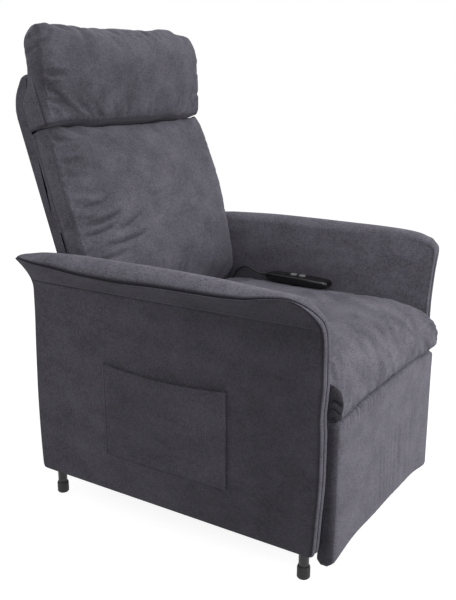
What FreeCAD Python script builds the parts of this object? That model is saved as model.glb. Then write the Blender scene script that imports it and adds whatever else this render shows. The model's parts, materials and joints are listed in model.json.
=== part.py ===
import FreeCAD
import Part
import Sketcher
import math
import os
from FreeCAD import Placement, Rotation, Vector

# Lift recliner chair.
# Lengths are in millimetres. While a piece is drawn, Y runs rearwards from the front edge of the arms,
# and each finished piece is then moved forward by origin_depth, so that the origin lies on the floor
# below the middle of the chair. Z is up, and +X is the sitter's left.

doc = FreeCAD.newDocument("lift_recliner")
sheet = doc.addObject("Spreadsheet::Sheet", "sizes")

SIZES = [
    # Placing of the whole chair
    ("origin_depth", 378.6),
    ("fit_gap", 0.3),
    ("running_gap", 0.1),
    # Arms
    ("arm_outer", 314),
    ("arm_thickness", 30),
    ("arm_bottom", 76),
    ("arm_depth", 737),
    ("arm_corner", 18),
    ("arm_front_bow", 16),
    ("arm_top_corner", 72),
    ("roll_height", 648),
    ("lip_drop", 50),
    ("lip_reach", 36),
    ("flare_height", 50),
    ("pocket_front", 205),
    ("pocket_rear", 531),
    ("pocket_bottom", 175),
    ("pocket_top", 392),
    ("pocket_sag", 9),
    ("pocket_stand_off", 11),
    ("pocket_cloth", 2.5),
    ("pocket_seam", 7),
    # Base frame
    ("leg_spread", 268),
    ("leg_radius", 11),
    ("leg_wall", 1.5),
    ("front_leg_depth", 46),
    ("rear_leg_depth", 724),
    ("cap_radius", 14),
    ("cap_height", 28),
    ("cap_floor", 5),
    ("plug_flange", 3),
    ("plug_depth", 12),
    ("rail_inner", 250),
    ("rail_width", 25),
    ("rail_bottom", 95),
    ("rail_height", 25),
    ("rail_front", 32),
    ("rail_rear", 738),
    ("cross_rail_height", 20),
    ("tube_wall", 2),
    ("base_front_tube_depth", 240),
    ("base_rear_tube_depth", 668),
    # Steel link planes, counted from the chair's middle
    ("link_thickness", 6),
    ("footrest_bracket_plane", 209),
    ("long_link_plane", 216),
    ("crank_plane", 223),
    ("mechanism_rail_plane", 230),
    ("lift_arm_plane", 237.3),
    ("pivot_plate_plane", 244),
    ("rear_arm_plane", 251),
    ("hanger_plane", 258),
    ("hanger_thickness", 5.5),
    ("rear_hanger_rise", 38),
    # Lift linkage pivots
    ("front_pivot_depth", 215),
    ("front_pivot_height", 130),
    ("front_hanger_depth", 480),
    ("front_hanger_height", 150),
    ("rear_pivot_depth", 290),
    ("rear_pivot_height", 157.9),
    ("rear_hanger_depth", 692),
    ("rear_hanger_height", 200.8),
    ("lift_link_radius", 14),
    ("lift_pin_radius", 6),
    ("open_pivot_gap", 1.8),
    ("pin_head_step", 3),
    ("pin_head_thickness", 2),
    ("torque_tube_radius", 12.5),
    # Footrest linkage pivots
    ("crank_pivot_depth", 70),
    ("crank_pivot_height", 306),
    ("crank_knee_depth", 150),
    ("crank_knee_height", 190),
    ("crank_toe_depth", 135),
    ("crank_toe_height", 105),
    ("rocker_shift_depth", 60),
    ("rocker_shift_height", -20),
    ("footrest_pivot_depth", 56),
    ("footrest_pivot_height", 306),
    ("footrest_link_radius", 12),
    ("footrest_pin_radius", 4),
    # Back
    ("recline_depth", 612),
    ("recline_height", 400),
    ("back_lean", 18.4),
    ("hanger_drop", 90),
    ("recline_plate_plane", 251.8),
    ("recline_plate_length", 190),
    ("recline_plate_thickness", 5.7),
    ("recline_lug_radius", 14),
    ("recline_lug_reach", 13),
    ("recline_lug_rise", 8),
    ("back_half_width", 281),
    ("back_inner_half_width", 262),
    ("shell_start", 24),
    ("shell_rear", -4.4),
    ("shell_wall", 14.4),
    ("shell_front", 26),
    ("shell_end", 621),
    ("back_board_start", 30),
    ("back_board_end", 556),
    ("cushion_start", 34),
    ("cushion_end", 499.5),
    ("pillow_start", 500.3),
    ("pillow_height", 218),
    ("pillow_middle", 75),
    ("pillow_thickness", 67),
    ("recline_pin_radius", 6),
    # Actuators
    ("lift_motor_depth", 640),
    ("lift_motor_height", 150),
    ("lift_motor_side", -70),
    ("lift_crank_reach", 78),
    ("lift_crank_angle", 66),
    ("lift_crank_slack", 8),
    ("recline_motor_depth", 235),
    ("recline_motor_height", 262),
    ("recline_motor_side", 70),
    ("recline_crank_reach", 90),
    ("recline_crank_angle", -68),
    ("recline_crank_slack", 5.5),
    ("rod_radius", 9),
    ("rod_gap", 0.6),
    ("rod_end_room", 12),
    ("recline_stroke", 62),
    ("rod_pin_radius", 5),
    ("actuator_tube_radius", 17),
    ("gearbox_length", 58),
    ("gearbox_radius", 21),
    ("motor_can_radius", 20),
    ("motor_can_length", 105),
    ("motor_can_drop", 34),
    ("lift_tube_length", 300),
    ("lift_rod_start", 165),
    ("recline_tube_length", 318),
    ("recline_rod_start", 284),
    ("clevis_half_gap", 14),
    ("clevis_wall", 5),
    # Seat box
    ("box_side_inner", 263.5),
    ("box_side_thickness", 20),
    ("box_bottom", 145),
    ("box_top", 344),
    ("box_front", 40),
    ("box_rear", 712),
    ("front_rail_depth", 36),
    ("box_rail_thickness", 20),
    ("front_rail_height", 22),
    ("rear_rail_height", 90),
    ("mechanism_rail_front", 50),
    ("front_tube_depth", 60),
    ("middle_tube_depth", 222),
    ("rear_tube_depth", 664),
    ("webbing_first", 96),
    ("webbing_step", 92),
    ("cross_tube_height", 22),
    ("cross_tube_width", 25),
    ("mechanism_rail_bottom", 270),
    ("mechanism_rail_height", 52),
    ("rear_panel_thickness", 12),
    ("rear_panel_bottom", 130),
    ("rear_panel_top", 408),
    ("webbing_width", 50),
    ("webbing_thickness", 2),
    # Seat and footrest
    ("seat_half_width", 283.4),
    ("seat_rear", 574),
    ("seat_front", -31),
    ("seat_top", 473),
    ("footrest_half_width", 273),
    ("footrest_face", -22),
    ("footrest_pad_thickness", 38),
    ("footrest_board_thickness", 12),
    ("footrest_bottom", 63),
    ("footrest_top", 362),
    ("footrest_corner", 26),
    # Handset
    ("handset_length", 190),
    ("handset_width", 52),
    ("handset_thickness", 23),
    ("handset_side", 246),
    ("handset_depth", 346),
    ("handset_height", 478),
    ("handset_turn", -4),
    ("button_radius", 9),
    ("button_travel", 1),
    ("button_height", 2.2),
    ("button_spacing", 26),
    ("cord_diameter", 5),
    ("gland_length", 18),
    ("gland_radius", 4.6),
    ("control_box_side", 120),
    ("control_box_length", 105),
    ("control_box_width", 62),
    ("control_box_height", 42),
    ("inlet_length", 14),
    ("inlet_width", 30),
    ("inlet_height", 24),
]


def fill_sheet():
    for row, (name, value) in enumerate(SIZES, start=1):
        sheet.set("A%d" % row, name)
        sheet.set("B%d" % row, str(value))
        sheet.setAlias("B%d" % row, name)
    doc.recompute()


fill_sheet()


def size(name):
    return float(sheet.get(name))


# Expression texts write $name for the sheet's cell of that name.
def expression(text):
    return str(text).replace("$", "sizes.")


def worth(text):
    return float(sheet.evalExpression(expression(text)))


SUB_PARTS = []


def keep(piece, label):
    piece.Label = label
    SUB_PARTS.append(piece)
    return piece


# A bound primitive: every property is an expression of the sheet's cells.
def bound(kind, **properties):
    piece = doc.addObject(kind, "form")
    for key, text in properties.items():
        path = key.replace("_", ".")
        piece.setExpression(path, expression(text))
    return piece


def box(x, y, z, length, width, height):
    return bound(
        "Part::Box",
        Placement_Base_x=x,
        Placement_Base_y=y,
        Placement_Base_z=z,
        Length=length,
        Width=width,
        Height=height,
    )


# A cylinder along the X axis or the Z axis.
def round_bar(x, y, z, radius, length, along_x=True):
    bar = doc.addObject("Part::Cylinder", "bar")
    if along_x:
        bar.Placement = Placement(Vector(), Rotation(Vector(0, 1, 0), 90))
    for path, text in (
        ("Placement.Base.x", x),
        ("Placement.Base.y", y),
        ("Placement.Base.z", z),
        ("Radius", radius),
        ("Height", length),
    ):
        bar.setExpression(path, expression(text))
    return bar


def fuse(*pieces):
    whole = doc.addObject("Part::MultiFuse", "whole")
    whole.Shapes = list(pieces)
    return whole


def cut(base, tool):
    rest = doc.addObject("Part::Cut", "rest")
    rest.Base = base
    rest.Tool = tool
    return rest


def group(pieces):
    whole = doc.addObject("Part::Compound", "group")
    whole.Links = list(pieces)
    return whole


def placed(piece, x, y):
    piece.setExpression("Placement.Base.x", expression(x))
    piece.setExpression("Placement.Base.y", expression(y))
    return piece


# Moves a finished sub-part from where it was drawn to its place on the chair.
def finish(piece, label, x="0", y="0", z="0", turn=None, turn_axis=Vector(1, 0, 0)):
    if piece.isDerivedFrom("Part::Primitive"):
        piece = group([piece])
    if turn is not None:
        piece.Placement = Placement(Vector(), Rotation(turn_axis, worth(turn)))
        piece.setExpression("Placement.Rotation.Angle", expression(turn))
    piece.setExpression("Placement.Base.x", expression(x))
    piece.setExpression("Placement.Base.y", expression("(%s) - $origin_depth" % y))
    piece.setExpression("Placement.Base.z", expression(z))
    return keep(piece, label)


def soft_form(shape):
    piece = doc.addObject("Part::Feature", "form")
    piece.Shape = shape
    return piece


def plane_of(body, role):
    return [item for item in body.Origin.OriginFeatures if item.Role == role][0]


def sketch_on(body, role, offset):
    sketch = body.newObject("Sketcher::SketchObject", "outline")
    sketch.AttachmentSupport = [(plane_of(body, role), "")]
    sketch.MapMode = "FlatFace"
    sketch.setExpression("AttachmentOffset.Base.z", expression(offset))
    return sketch


def bind(sketch, text, kind, *facts):
    index = sketch.addConstraint(Sketcher.Constraint(kind, *facts, worth(text)))
    sketch.setExpression("Constraints[%d]" % index, expression(text))


def pin_point(sketch, geometry, position, spot):
    bind(sketch, spot[0], "DistanceX", -1, 1, geometry, position)
    bind(sketch, spot[1], "DistanceY", -1, 1, geometry, position)


def flat_point(spot):
    return Vector(worth(spot[0]), worth(spot[1]), 0)


# A bar between two pivots with round ends, drawn as two arcs and their common tangents.
def draw_link(sketch, start, end, radius):
    a = flat_point(start)
    b = flat_point(end)
    r = worth(radius)
    turn = math.atan2(b.y - a.y, b.x - a.x)
    side = Vector(-math.sin(turn), math.cos(turn), 0) * r
    up = Vector(0, 0, 1)
    quarter = math.pi / 2
    arc_a = sketch.addGeometry(Part.ArcOfCircle(Part.Circle(a, up, r), turn + quarter, turn + 3 * quarter))
    arc_b = sketch.addGeometry(Part.ArcOfCircle(Part.Circle(b, up, r), turn - quarter, turn + quarter))
    low = sketch.addGeometry(Part.LineSegment(a - side, b - side))
    top = sketch.addGeometry(Part.LineSegment(b + side, a + side))
    for facts in ((arc_a, 2, low, 1), (low, 2, arc_b, 1), (arc_b, 2, top, 1), (top, 2, arc_a, 1)):
        sketch.addConstraint(Sketcher.Constraint("Tangent", *facts))
    bind(sketch, radius, "Radius", arc_a)
    pin_point(sketch, arc_a, 3, start)
    pin_point(sketch, arc_b, 3, end)


def draw_hole(sketch, spot, radius):
    circle = sketch.addGeometry(Part.Circle(flat_point(spot), Vector(0, 0, 1), worth(radius)))
    bind(sketch, radius, "Radius", circle)
    pin_point(sketch, circle, 3, spot)


def draw_polygon(sketch, spots):
    points = [flat_point(spot) for spot in spots]
    lines = []
    for index, point in enumerate(points):
        lines.append(sketch.addGeometry(Part.LineSegment(point, points[(index + 1) % len(points)])))
    for index, line in enumerate(lines):
        following = lines[(index + 1) % len(lines)]
        sketch.addConstraint(Sketcher.Constraint("Coincident", line, 2, following, 1))
        pin_point(sketch, line, 1, spots[index])


def pad(body, sketch, thickness):
    feature = body.newObject("PartDesign::Pad", "pad")
    feature.Profile = sketch
    feature.setExpression("Length", expression(thickness))
    return feature


# Cuts a sketch right through the body on both sides of its plane.
def pocket_through(body, sketch):
    feature = body.newObject("PartDesign::Pocket", "pocket")
    feature.Profile = sketch
    feature.Type = "ThroughAll"
    feature.Midplane = True
    return feature


# The plane of a flat piece that lies from near to near + thickness on one side of the chair.
def side_plane(side, near, thickness):
    return near if side > 0 else "-(%s) - (%s)" % (near, thickness)


# A steel plate in a lengthwise plane: round-ended bars between the pivots, with a hole at each.
def link_plate(side, near, bars, radius, holes, thickness="$link_thickness"):
    body = doc.addObject("PartDesign::Body", "link")
    plane = side_plane(side, near, thickness)
    for start, end in bars:
        sketch = sketch_on(body, "YZ_Plane", plane)
        draw_link(sketch, start, end, radius)
        pad(body, sketch, thickness)
    if holes:
        sketch = sketch_on(body, "YZ_Plane", plane)
        for spot, hole_radius in holes:
            draw_hole(sketch, spot, hole_radius)
        pocket_through(body, sketch)
    return body


SIDES = ((1, "left"), (-1, "right"))


# The same plate on both sides of the chair, kept as one sub-part of two solids.
def plates(label, near, bars, radius, holes, thickness="$link_thickness"):
    pair = [link_plate(side, near, bars, radius, holes, thickness) for side, word in SIDES]
    return finish(group(pair), label)


def mirrored_x(side, near, length):
    return near if side > 0 else "-(%s) - (%s)" % (near, length)


# A pin along X from near to far, with a flat head at its near or far end.
def headed_pin(side, spot, near, far, radius, head_at, head_radius=None):
    length = "(%s) - (%s)" % (far, near)
    shank = round_bar(mirrored_x(side, near, length), spot[0], spot[1], radius, length)
    head_radius = head_radius or "(%s) + $pin_head_step" % radius
    thickness = "$pin_head_thickness"
    head_near = far if head_at == "far" else "(%s) - %s" % (near, thickness)
    head = round_bar(mirrored_x(side, head_near, thickness), spot[0], spot[1], head_radius, thickness)
    return fuse(shank, head)


# The base frame stands on the floor: two side rails on four legs, joined by a front and a rear tube.
def cross_rail(label, y):
    outer = box("-$rail_inner", y, "$rail_bottom", "2 * $rail_inner", "$rail_width", "$cross_rail_height")
    inner = box(
        "-$rail_inner",
        "%s + $tube_wall" % y,
        "$rail_bottom + $tube_wall",
        "2 * $rail_inner",
        "$rail_width - 2 * $tube_wall",
        "$cross_rail_height - 2 * $tube_wall",
    )
    finish(cut(outer, inner), label)


def side_rail(side):
    outer = box(
        mirrored_x(side, "$rail_inner", "$rail_width"),
        "$rail_front",
        "$rail_bottom",
        "$rail_width",
        "$rail_rear - $rail_front",
        "$rail_height",
    )
    inner = box(
        mirrored_x(side, "$rail_inner + $tube_wall", "$rail_width - 2 * $tube_wall"),
        "$rail_front",
        "$rail_bottom + $tube_wall",
        "$rail_width - 2 * $tube_wall",
        "$rail_rear - $rail_front",
        "$rail_height - 2 * $tube_wall",
    )
    return cut(outer, inner)


# A rail's open end is closed by a plastic plug with a flange outside and a block inside.
def rail_plug(side, flange_start, block_start):
    flange = box(
        mirrored_x(side, "$rail_inner", "$rail_width"),
        flange_start,
        "$rail_bottom",
        "$rail_width",
        "$plug_flange",
        "$rail_height",
    )
    block = box(
        mirrored_x(side, "$rail_inner + $tube_wall", "$rail_width - 2 * $tube_wall"),
        block_start,
        "$rail_bottom + $tube_wall",
        "$rail_width - 2 * $tube_wall",
        "$plug_depth",
        "$rail_height - 2 * $tube_wall",
    )
    return fuse(flange, block)


def leg(x, y):
    tube = round_bar("0", "0", "$cap_floor", "$leg_radius", "$rail_bottom - $cap_floor", along_x=False)
    bore = round_bar(
        "0", "0", "$cap_floor", "$leg_radius - $leg_wall", "$rail_bottom - $cap_floor", along_x=False
    )
    return placed(cut(tube, bore), x, y)


def foot_cap(x, y):
    body = doc.addObject("PartDesign::Body", "cap")
    sketch = sketch_on(body, "XZ_Plane", "0")
    outline = [
        ("0", "0"),
        ("$cap_radius - 2", "0"),
        ("$cap_radius", "2.5"),
        ("$cap_radius", "$cap_height - 4"),
        ("$cap_radius - 1.4", "$cap_height"),
        ("$leg_radius", "$cap_height"),
        ("$leg_radius", "$cap_floor"),
        ("0", "$cap_floor"),
    ]
    draw_polygon(sketch, outline)
    turned = body.newObject("PartDesign::Revolution", "turned")
    turned.Profile = sketch
    turned.ReferenceAxis = (sketch, ["V_Axis"])
    turned.Angle = 360
    return placed(body, x, y)


rails = []
plugs = []
for side, word in SIDES:
    rails.append(side_rail(side))
    plugs.append(rail_plug(side, "$rail_front - $plug_flange", "$rail_front"))
    plugs.append(rail_plug(side, "$rail_rear", "$rail_rear - $plug_depth"))
finish(group(rails), "side_rails")
finish(group(plugs), "rail_plugs")
LEG_ENDS = ("front", "rear")
LEG_SPOTS = [("%d * $leg_spread" % side, "$%s_leg_depth" % end) for side, word in SIDES for end in LEG_ENDS]
finish(group([leg(x, y) for x, y in LEG_SPOTS]), "legs")
finish(group([foot_cap(x, y) for x, y in LEG_SPOTS]), "foot_caps")

cross_rail("base_front_tube", "$base_front_tube_depth")
cross_rail("base_rear_tube", "$base_rear_tube_depth")

# The lift linkage: on each side a front arm and a rear arm carry the chair on the base.
FRONT_PIVOT = ("$front_pivot_depth", "$front_pivot_height")
FRONT_HANGER = ("$front_hanger_depth", "$front_hanger_height")
REAR_PIVOT = ("$rear_pivot_depth", "$rear_pivot_height")
REAR_HANGER = ("$rear_hanger_depth", "$rear_hanger_height")
RAIL_MIDDLE = "$rail_bottom + $rail_height / 2"
LIFT_BORE = "$lift_pin_radius + $running_gap"
OPEN_BORE = "$lift_pin_radius + $open_pivot_gap"

foot_bars = [
    (FRONT_PIVOT, REAR_PIVOT),
    (FRONT_PIVOT, (FRONT_PIVOT[0], RAIL_MIDDLE)),
    (REAR_PIVOT, (REAR_PIVOT[0], RAIL_MIDDLE)),
]
base_holes = [(FRONT_PIVOT, "$lift_pin_radius"), (REAR_PIVOT, "$lift_pin_radius")]
front_arm_holes = [(FRONT_PIVOT, LIFT_BORE), (FRONT_HANGER, LIFT_BORE)]
rear_arm_holes = [(REAR_PIVOT, LIFT_BORE), (REAR_HANGER, OPEN_BORE)]
LINK_END = "$lift_link_radius"
plates("pivot_plates", "$pivot_plate_plane", foot_bars, LINK_END, base_holes)
plates("front_lift_arms", "$lift_arm_plane", [(FRONT_PIVOT, FRONT_HANGER)], LINK_END, front_arm_holes)
plates("rear_lift_arms", "$rear_arm_plane", [(REAR_PIVOT, REAR_HANGER)], LINK_END, rear_arm_holes)

ARM_INNER_FACE = "$lift_arm_plane"
ARM_OUTER_FACE = "$lift_arm_plane + $link_thickness"
PLATE_INNER_FACE = "$pivot_plate_plane"
PLATE_OUTER_FACE = "$pivot_plate_plane + $link_thickness"
REAR_ARM_OUTER_FACE = "$rear_arm_plane + $link_thickness"
PIN = "$lift_pin_radius"
base_pins = []
for side, word in SIDES:
    front_pin_start = ARM_INNER_FACE + " + $fit_gap"
    base_pins.append(headed_pin(side, FRONT_PIVOT, front_pin_start, PLATE_OUTER_FACE, PIN, "far"))
    base_pins.append(headed_pin(side, REAR_PIVOT, PLATE_INNER_FACE, REAR_ARM_OUTER_FACE, PIN, "far"))
finish(group(base_pins), "base_pivot_pins")

# The torque tube joins the two front arms at their lower pivots, and its crank takes the actuator's rod.
torque_tube = round_bar(
    "-$lift_arm_plane", FRONT_PIVOT[0], FRONT_PIVOT[1], "$torque_tube_radius", "2 * $lift_arm_plane"
)
torque_bore = round_bar(
    "-$lift_arm_plane",
    FRONT_PIVOT[0],
    FRONT_PIVOT[1],
    "$torque_tube_radius - $tube_wall",
    "2 * $lift_arm_plane",
)
finish(cut(torque_tube, torque_bore), "torque_tube")

LIFT_CRANK_EYE = (
    "$front_pivot_depth + $lift_crank_reach * cos($lift_crank_angle)",
    "$front_pivot_height + $lift_crank_reach * sin($lift_crank_angle)",
)




# Two plates carry an actuator's eye between them: on the crank, on a cross tube or on the back.
def plate_pair(label, middle, foot, eye, radius, holes, pins=()):
    pair = list(pins)
    for offset in ("(%s) + $clevis_half_gap" % middle, "(%s) - $clevis_half_gap - $clevis_wall" % middle):
        body = doc.addObject("PartDesign::Body", "plate")
        sketch = sketch_on(body, "YZ_Plane", offset)
        draw_link(sketch, foot, eye, radius)
        pad(body, sketch, "$clevis_wall")
        sketch = sketch_on(body, "YZ_Plane", offset)
        for spot, hole_radius in holes:
            draw_hole(sketch, spot, hole_radius)
        pocket_through(body, sketch)
        pair.append(body)
    return finish(group(pair), label)


CLEVIS_SPAN = "2 * $clevis_half_gap + 2 * $clevis_wall"


def clevis_start(middle):
    return "(%s) - $clevis_half_gap - $clevis_wall" % middle


ROD_BORE_LIFT = "$rod_pin_radius + $lift_crank_slack"
ROD_BORE_RECLINE = "$rod_pin_radius + $recline_crank_slack"
CRANK_RADIUS = "$rod_pin_radius + $lift_crank_slack + 7"
plate_pair(
    "lift_crank",
    "$lift_motor_side",
    FRONT_PIVOT,
    LIFT_CRANK_EYE,
    CRANK_RADIUS,
    [(FRONT_PIVOT, "$torque_tube_radius"), (LIFT_CRANK_EYE, ROD_BORE_LIFT)],
)


# An actuator, drawn with its rear eye at the origin and its rod pointing forward along -Y.
def actuator(name, middle, eye, far_eye, tube_end, rod_start, bore_start):
    reach = "sqrt(((%s) - (%s))^2 + ((%s) - (%s))^2)" % (eye[0], far_eye[0], eye[1], far_eye[1])
    turn = "atan2((%s) - (%s); (%s) - (%s))" % (eye[1], far_eye[1], eye[0], far_eye[0])
    block = doc.addObject("PartDesign::Body", "block")
    sketch = sketch_on(block, "YZ_Plane", "-$clevis_half_gap + 1")
    draw_link(sketch, ("0", "0"), ("-$gearbox_length", "0"), "$gearbox_radius")
    pad(block, sketch, "2 * $clevis_half_gap - 2")
    sketch = sketch_on(block, "YZ_Plane", "-$clevis_half_gap + 1")
    draw_hole(sketch, ("0", "0"), "$rod_pin_radius + $running_gap")
    pocket_through(block, sketch)
    tube = lengthwise_bar("$actuator_tube_radius", tube_end, "$gearbox_length", "0")
    bore = lengthwise_bar("$rod_radius + $rod_gap", tube_end, bore_start, "0")
    can = lengthwise_bar("$motor_can_radius", "$motor_can_length + 26", "26", "-$motor_can_drop")
    housing = cut(fuse(block, tube, can), bore)
    finish(housing, name + "_motor", middle, eye[0], eye[1], turn)
    rod = lengthwise_bar("$rod_radius", "(%s) - $rod_pin_radius - 2" % reach, rod_start, "0")
    eye_barrel = round_bar(
        "-$clevis_half_gap + 1",
        "-(%s)" % reach,
        "0",
        "$rod_pin_radius + 6",
        "2 * $clevis_half_gap - 2",
    )
    pin_start = "-$clevis_half_gap - $clevis_wall - 2"
    pin_length = "2 * $clevis_half_gap + 2 * $clevis_wall + 4"
    pin = round_bar(pin_start, "-(%s)" % reach, "0", "$rod_pin_radius", pin_length)
    finish(fuse(rod, eye_barrel, pin), name + "_rod", middle, eye[0], eye[1], turn)


# A round bar along Y, from -far to -near.
def lengthwise_bar(radius, far, near, z):
    bar = doc.addObject("Part::Cylinder", "bar")
    bar.Placement = Placement(Vector(), Rotation(Vector(1, 0, 0), -90))
    bar.setExpression("Placement.Base.y", expression("-(%s)" % far))
    bar.setExpression("Placement.Base.z", expression(z))
    bar.setExpression("Radius", expression(radius))
    bar.setExpression("Height", expression("(%s) - (%s)" % (far, near)))
    return bar


LIFT_EYE = ("$lift_motor_depth", "$lift_motor_height")
RECLINE_EYE = ("$recline_motor_depth", "$recline_motor_height")
RECLINE_CRANK_EYE = (
    "$recline_depth + $recline_crank_reach * cos($recline_crank_angle)",
    "$recline_height + $recline_crank_reach * sin($recline_crank_angle)",
)
actuator(
    "lift",
    "$lift_motor_side",
    LIFT_EYE,
    LIFT_CRANK_EYE,
    "$lift_tube_length",
    "$lift_rod_start",
    "$lift_rod_start - $rod_end_room",
)
actuator(
    "recline",
    "$recline_motor_side",
    RECLINE_EYE,
    RECLINE_CRANK_EYE,
    "$recline_tube_length",
    "$recline_rod_start",
    "$recline_rod_start - $recline_stroke - $rod_end_room",
)


def motor_pin(middle, eye):
    return round_bar(clevis_start(middle), eye[0], eye[1], "$rod_pin_radius", CLEVIS_SPAN)


plate_pair(
    "lift_motor_bracket",
    "$lift_motor_side",
    ("$base_rear_tube_depth - 12", RAIL_MIDDLE),
    LIFT_EYE,
    "12",
    [(LIFT_EYE, "$rod_pin_radius")],
    [motor_pin("$lift_motor_side", LIFT_EYE)],
)

# The chair's own frame: wooden box sides and rails, steel mechanism rails, and three steel cross tubes.
BOX_SIDE = "$box_side_inner + $box_side_thickness"
for side, word in SIDES:
    side_board = box(
        mirrored_x(side, "$box_side_inner", "$box_side_thickness"),
        "$box_front",
        "$box_bottom",
        "$box_side_thickness",
        "$box_rear - $box_front",
        "$box_top - $box_bottom",
    )
    finish(side_board, "box_side_" + word)
front_rail = box(
    "-$box_side_inner",
    "$front_rail_depth",
    "$box_top - $front_rail_height",
    "2 * $box_side_inner",
    "$box_rail_thickness",
    "$front_rail_height",
)
finish(front_rail, "box_front_rail")
rear_rail = box(
    "-$box_side_inner",
    "$box_rear - $box_rail_thickness",
    "$box_top - $rear_rail_height",
    "2 * $box_side_inner",
    "$box_rail_thickness",
    "$rear_rail_height",
)
finish(rear_rail, "box_rear_rail")
cross_tubes = []
for place in ("front", "middle", "rear"):
    tube = box(
        "-$box_side_inner",
        "$%s_tube_depth" % place,
        "$box_top - $cross_tube_height",
        "2 * $box_side_inner",
        "$cross_tube_width",
        "$cross_tube_height",
    )
    cross_tubes.append(tube)
finish(group(cross_tubes), "chair_cross_tubes")

CRANK_PIVOT = ("$crank_pivot_depth", "$crank_pivot_height")
CRANK_KNEE = ("$crank_knee_depth", "$crank_knee_height")
CRANK_TOE = ("$crank_toe_depth", "$crank_toe_height")
ROCKER_PIVOT = (
    "$crank_pivot_depth + $rocker_shift_depth",
    "$crank_pivot_height + $rocker_shift_height",
)
ROCKER_KNEE = ("$crank_knee_depth + $rocker_shift_depth", "$crank_knee_height + $rocker_shift_height")
FOOTREST_PIVOT = ("$footrest_pivot_depth", "$footrest_pivot_height")
FOOTREST_TOE = (
    "$footrest_pivot_depth + $crank_toe_depth - $crank_knee_depth",
    "$footrest_pivot_height + $crank_toe_height - $crank_knee_height",
)
RECLINE_PIVOT = ("$recline_depth", "$recline_height")
FOOT_PIN = "$footrest_pin_radius"
FOOT_BORE = "$footrest_pin_radius + $running_gap"
FOOT_OPEN_BORE = "$footrest_pin_radius + $fit_gap"

for side, word in SIDES:
    body = doc.addObject("PartDesign::Body", "rail")
    plane = side_plane(side, "$mechanism_rail_plane", "$link_thickness")
    low = "$mechanism_rail_bottom"
    high = "$mechanism_rail_bottom + $mechanism_rail_height"
    rear = "$rear_tube_depth + $cross_tube_width"
    sketch = sketch_on(body, "YZ_Plane", plane)
    corners = [
        ("$mechanism_rail_front", low),
        (rear, low),
        (rear, high),
        ("$mechanism_rail_front", high),
    ]
    draw_polygon(sketch, corners)
    pad(body, sketch, "$link_thickness")
    sketch = sketch_on(body, "YZ_Plane", plane)
    draw_link(sketch, FRONT_HANGER, (FRONT_HANGER[0], "$mechanism_rail_bottom + 20"), "$lift_link_radius")
    pad(body, sketch, "$link_thickness")
    sketch = sketch_on(body, "YZ_Plane", plane)
    draw_hole(sketch, FRONT_HANGER, "$lift_pin_radius")
    draw_hole(sketch, CRANK_PIVOT, "$footrest_pin_radius")
    draw_hole(sketch, ROCKER_PIVOT, "$footrest_pin_radius")
    pocket_through(body, sketch)
    finish(body, "mechanism_rail_" + word)
plates(
    "recline_hangers",
    "$hanger_plane",
    [(RECLINE_PIVOT, (RECLINE_PIVOT[0], "$recline_height - $hanger_drop"))],
    "16",
    [(RECLINE_PIVOT, "$recline_pin_radius")],
    "$hanger_thickness",
)
plates(
    "rear_hangers",
    "$hanger_plane",
    [(REAR_HANGER, (REAR_HANGER[0], "$rear_hanger_height + $rear_hanger_rise"))],
    LINK_END,
    [(REAR_HANGER, "$lift_pin_radius")],
    "$hanger_thickness",
)

RAIL_INNER_FACE = "$mechanism_rail_plane"
RAIL_OUTER_FACE = "$mechanism_rail_plane + $link_thickness"
HANGER_OUTER_FACE = "$hanger_plane + $hanger_thickness"
chair_pins = []
crank_pins = []
for side, word in SIDES:
    chair_pins.append(headed_pin(side, FRONT_HANGER, RAIL_INNER_FACE, ARM_OUTER_FACE, PIN, "near"))
    chair_pins.append(headed_pin(side, REAR_HANGER, "$rear_arm_plane", HANGER_OUTER_FACE, PIN, "near"))
    recline_pin_start = "$recline_plate_plane + $fit_gap"
    chair_pins.append(
        headed_pin(side, RECLINE_PIVOT, recline_pin_start, HANGER_OUTER_FACE, "$recline_pin_radius", "far")
    )
    for spot in (CRANK_PIVOT, ROCKER_PIVOT):
        crank_pins.append(headed_pin(side, spot, "$crank_plane", RAIL_OUTER_FACE, FOOT_PIN, "far"))
finish(group(chair_pins), "chair_hanger_pins")
finish(group(crank_pins), "crank_pivot_pins")

plate_pair(
    "recline_motor_bracket",
    "$recline_motor_side",
    ("$middle_tube_depth + $cross_tube_width / 2", "$box_top - $cross_tube_height - 12"),
    RECLINE_EYE,
    "12",
    [(RECLINE_EYE, "$rod_pin_radius")],
    [motor_pin("$recline_motor_side", RECLINE_EYE)],
)

straps = []
for count in range(5):
    straps.append(
        box(
            "-$box_side_inner - $box_side_thickness",
            "$webbing_first + %d * $webbing_step" % count,
            "$box_top",
            "2 * ($box_side_inner + $box_side_thickness)",
            "$webbing_width",
            "$webbing_thickness",
        )
    )
finish(group(straps), "seat_webbing")
rear_panel = box(
    "-$seat_half_width",
    "$box_rear",
    "$rear_panel_bottom",
    "2 * $seat_half_width",
    "$rear_panel_thickness",
    "$rear_panel_top - $rear_panel_bottom",
)
finish(rear_panel, "rear_panel")

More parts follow.
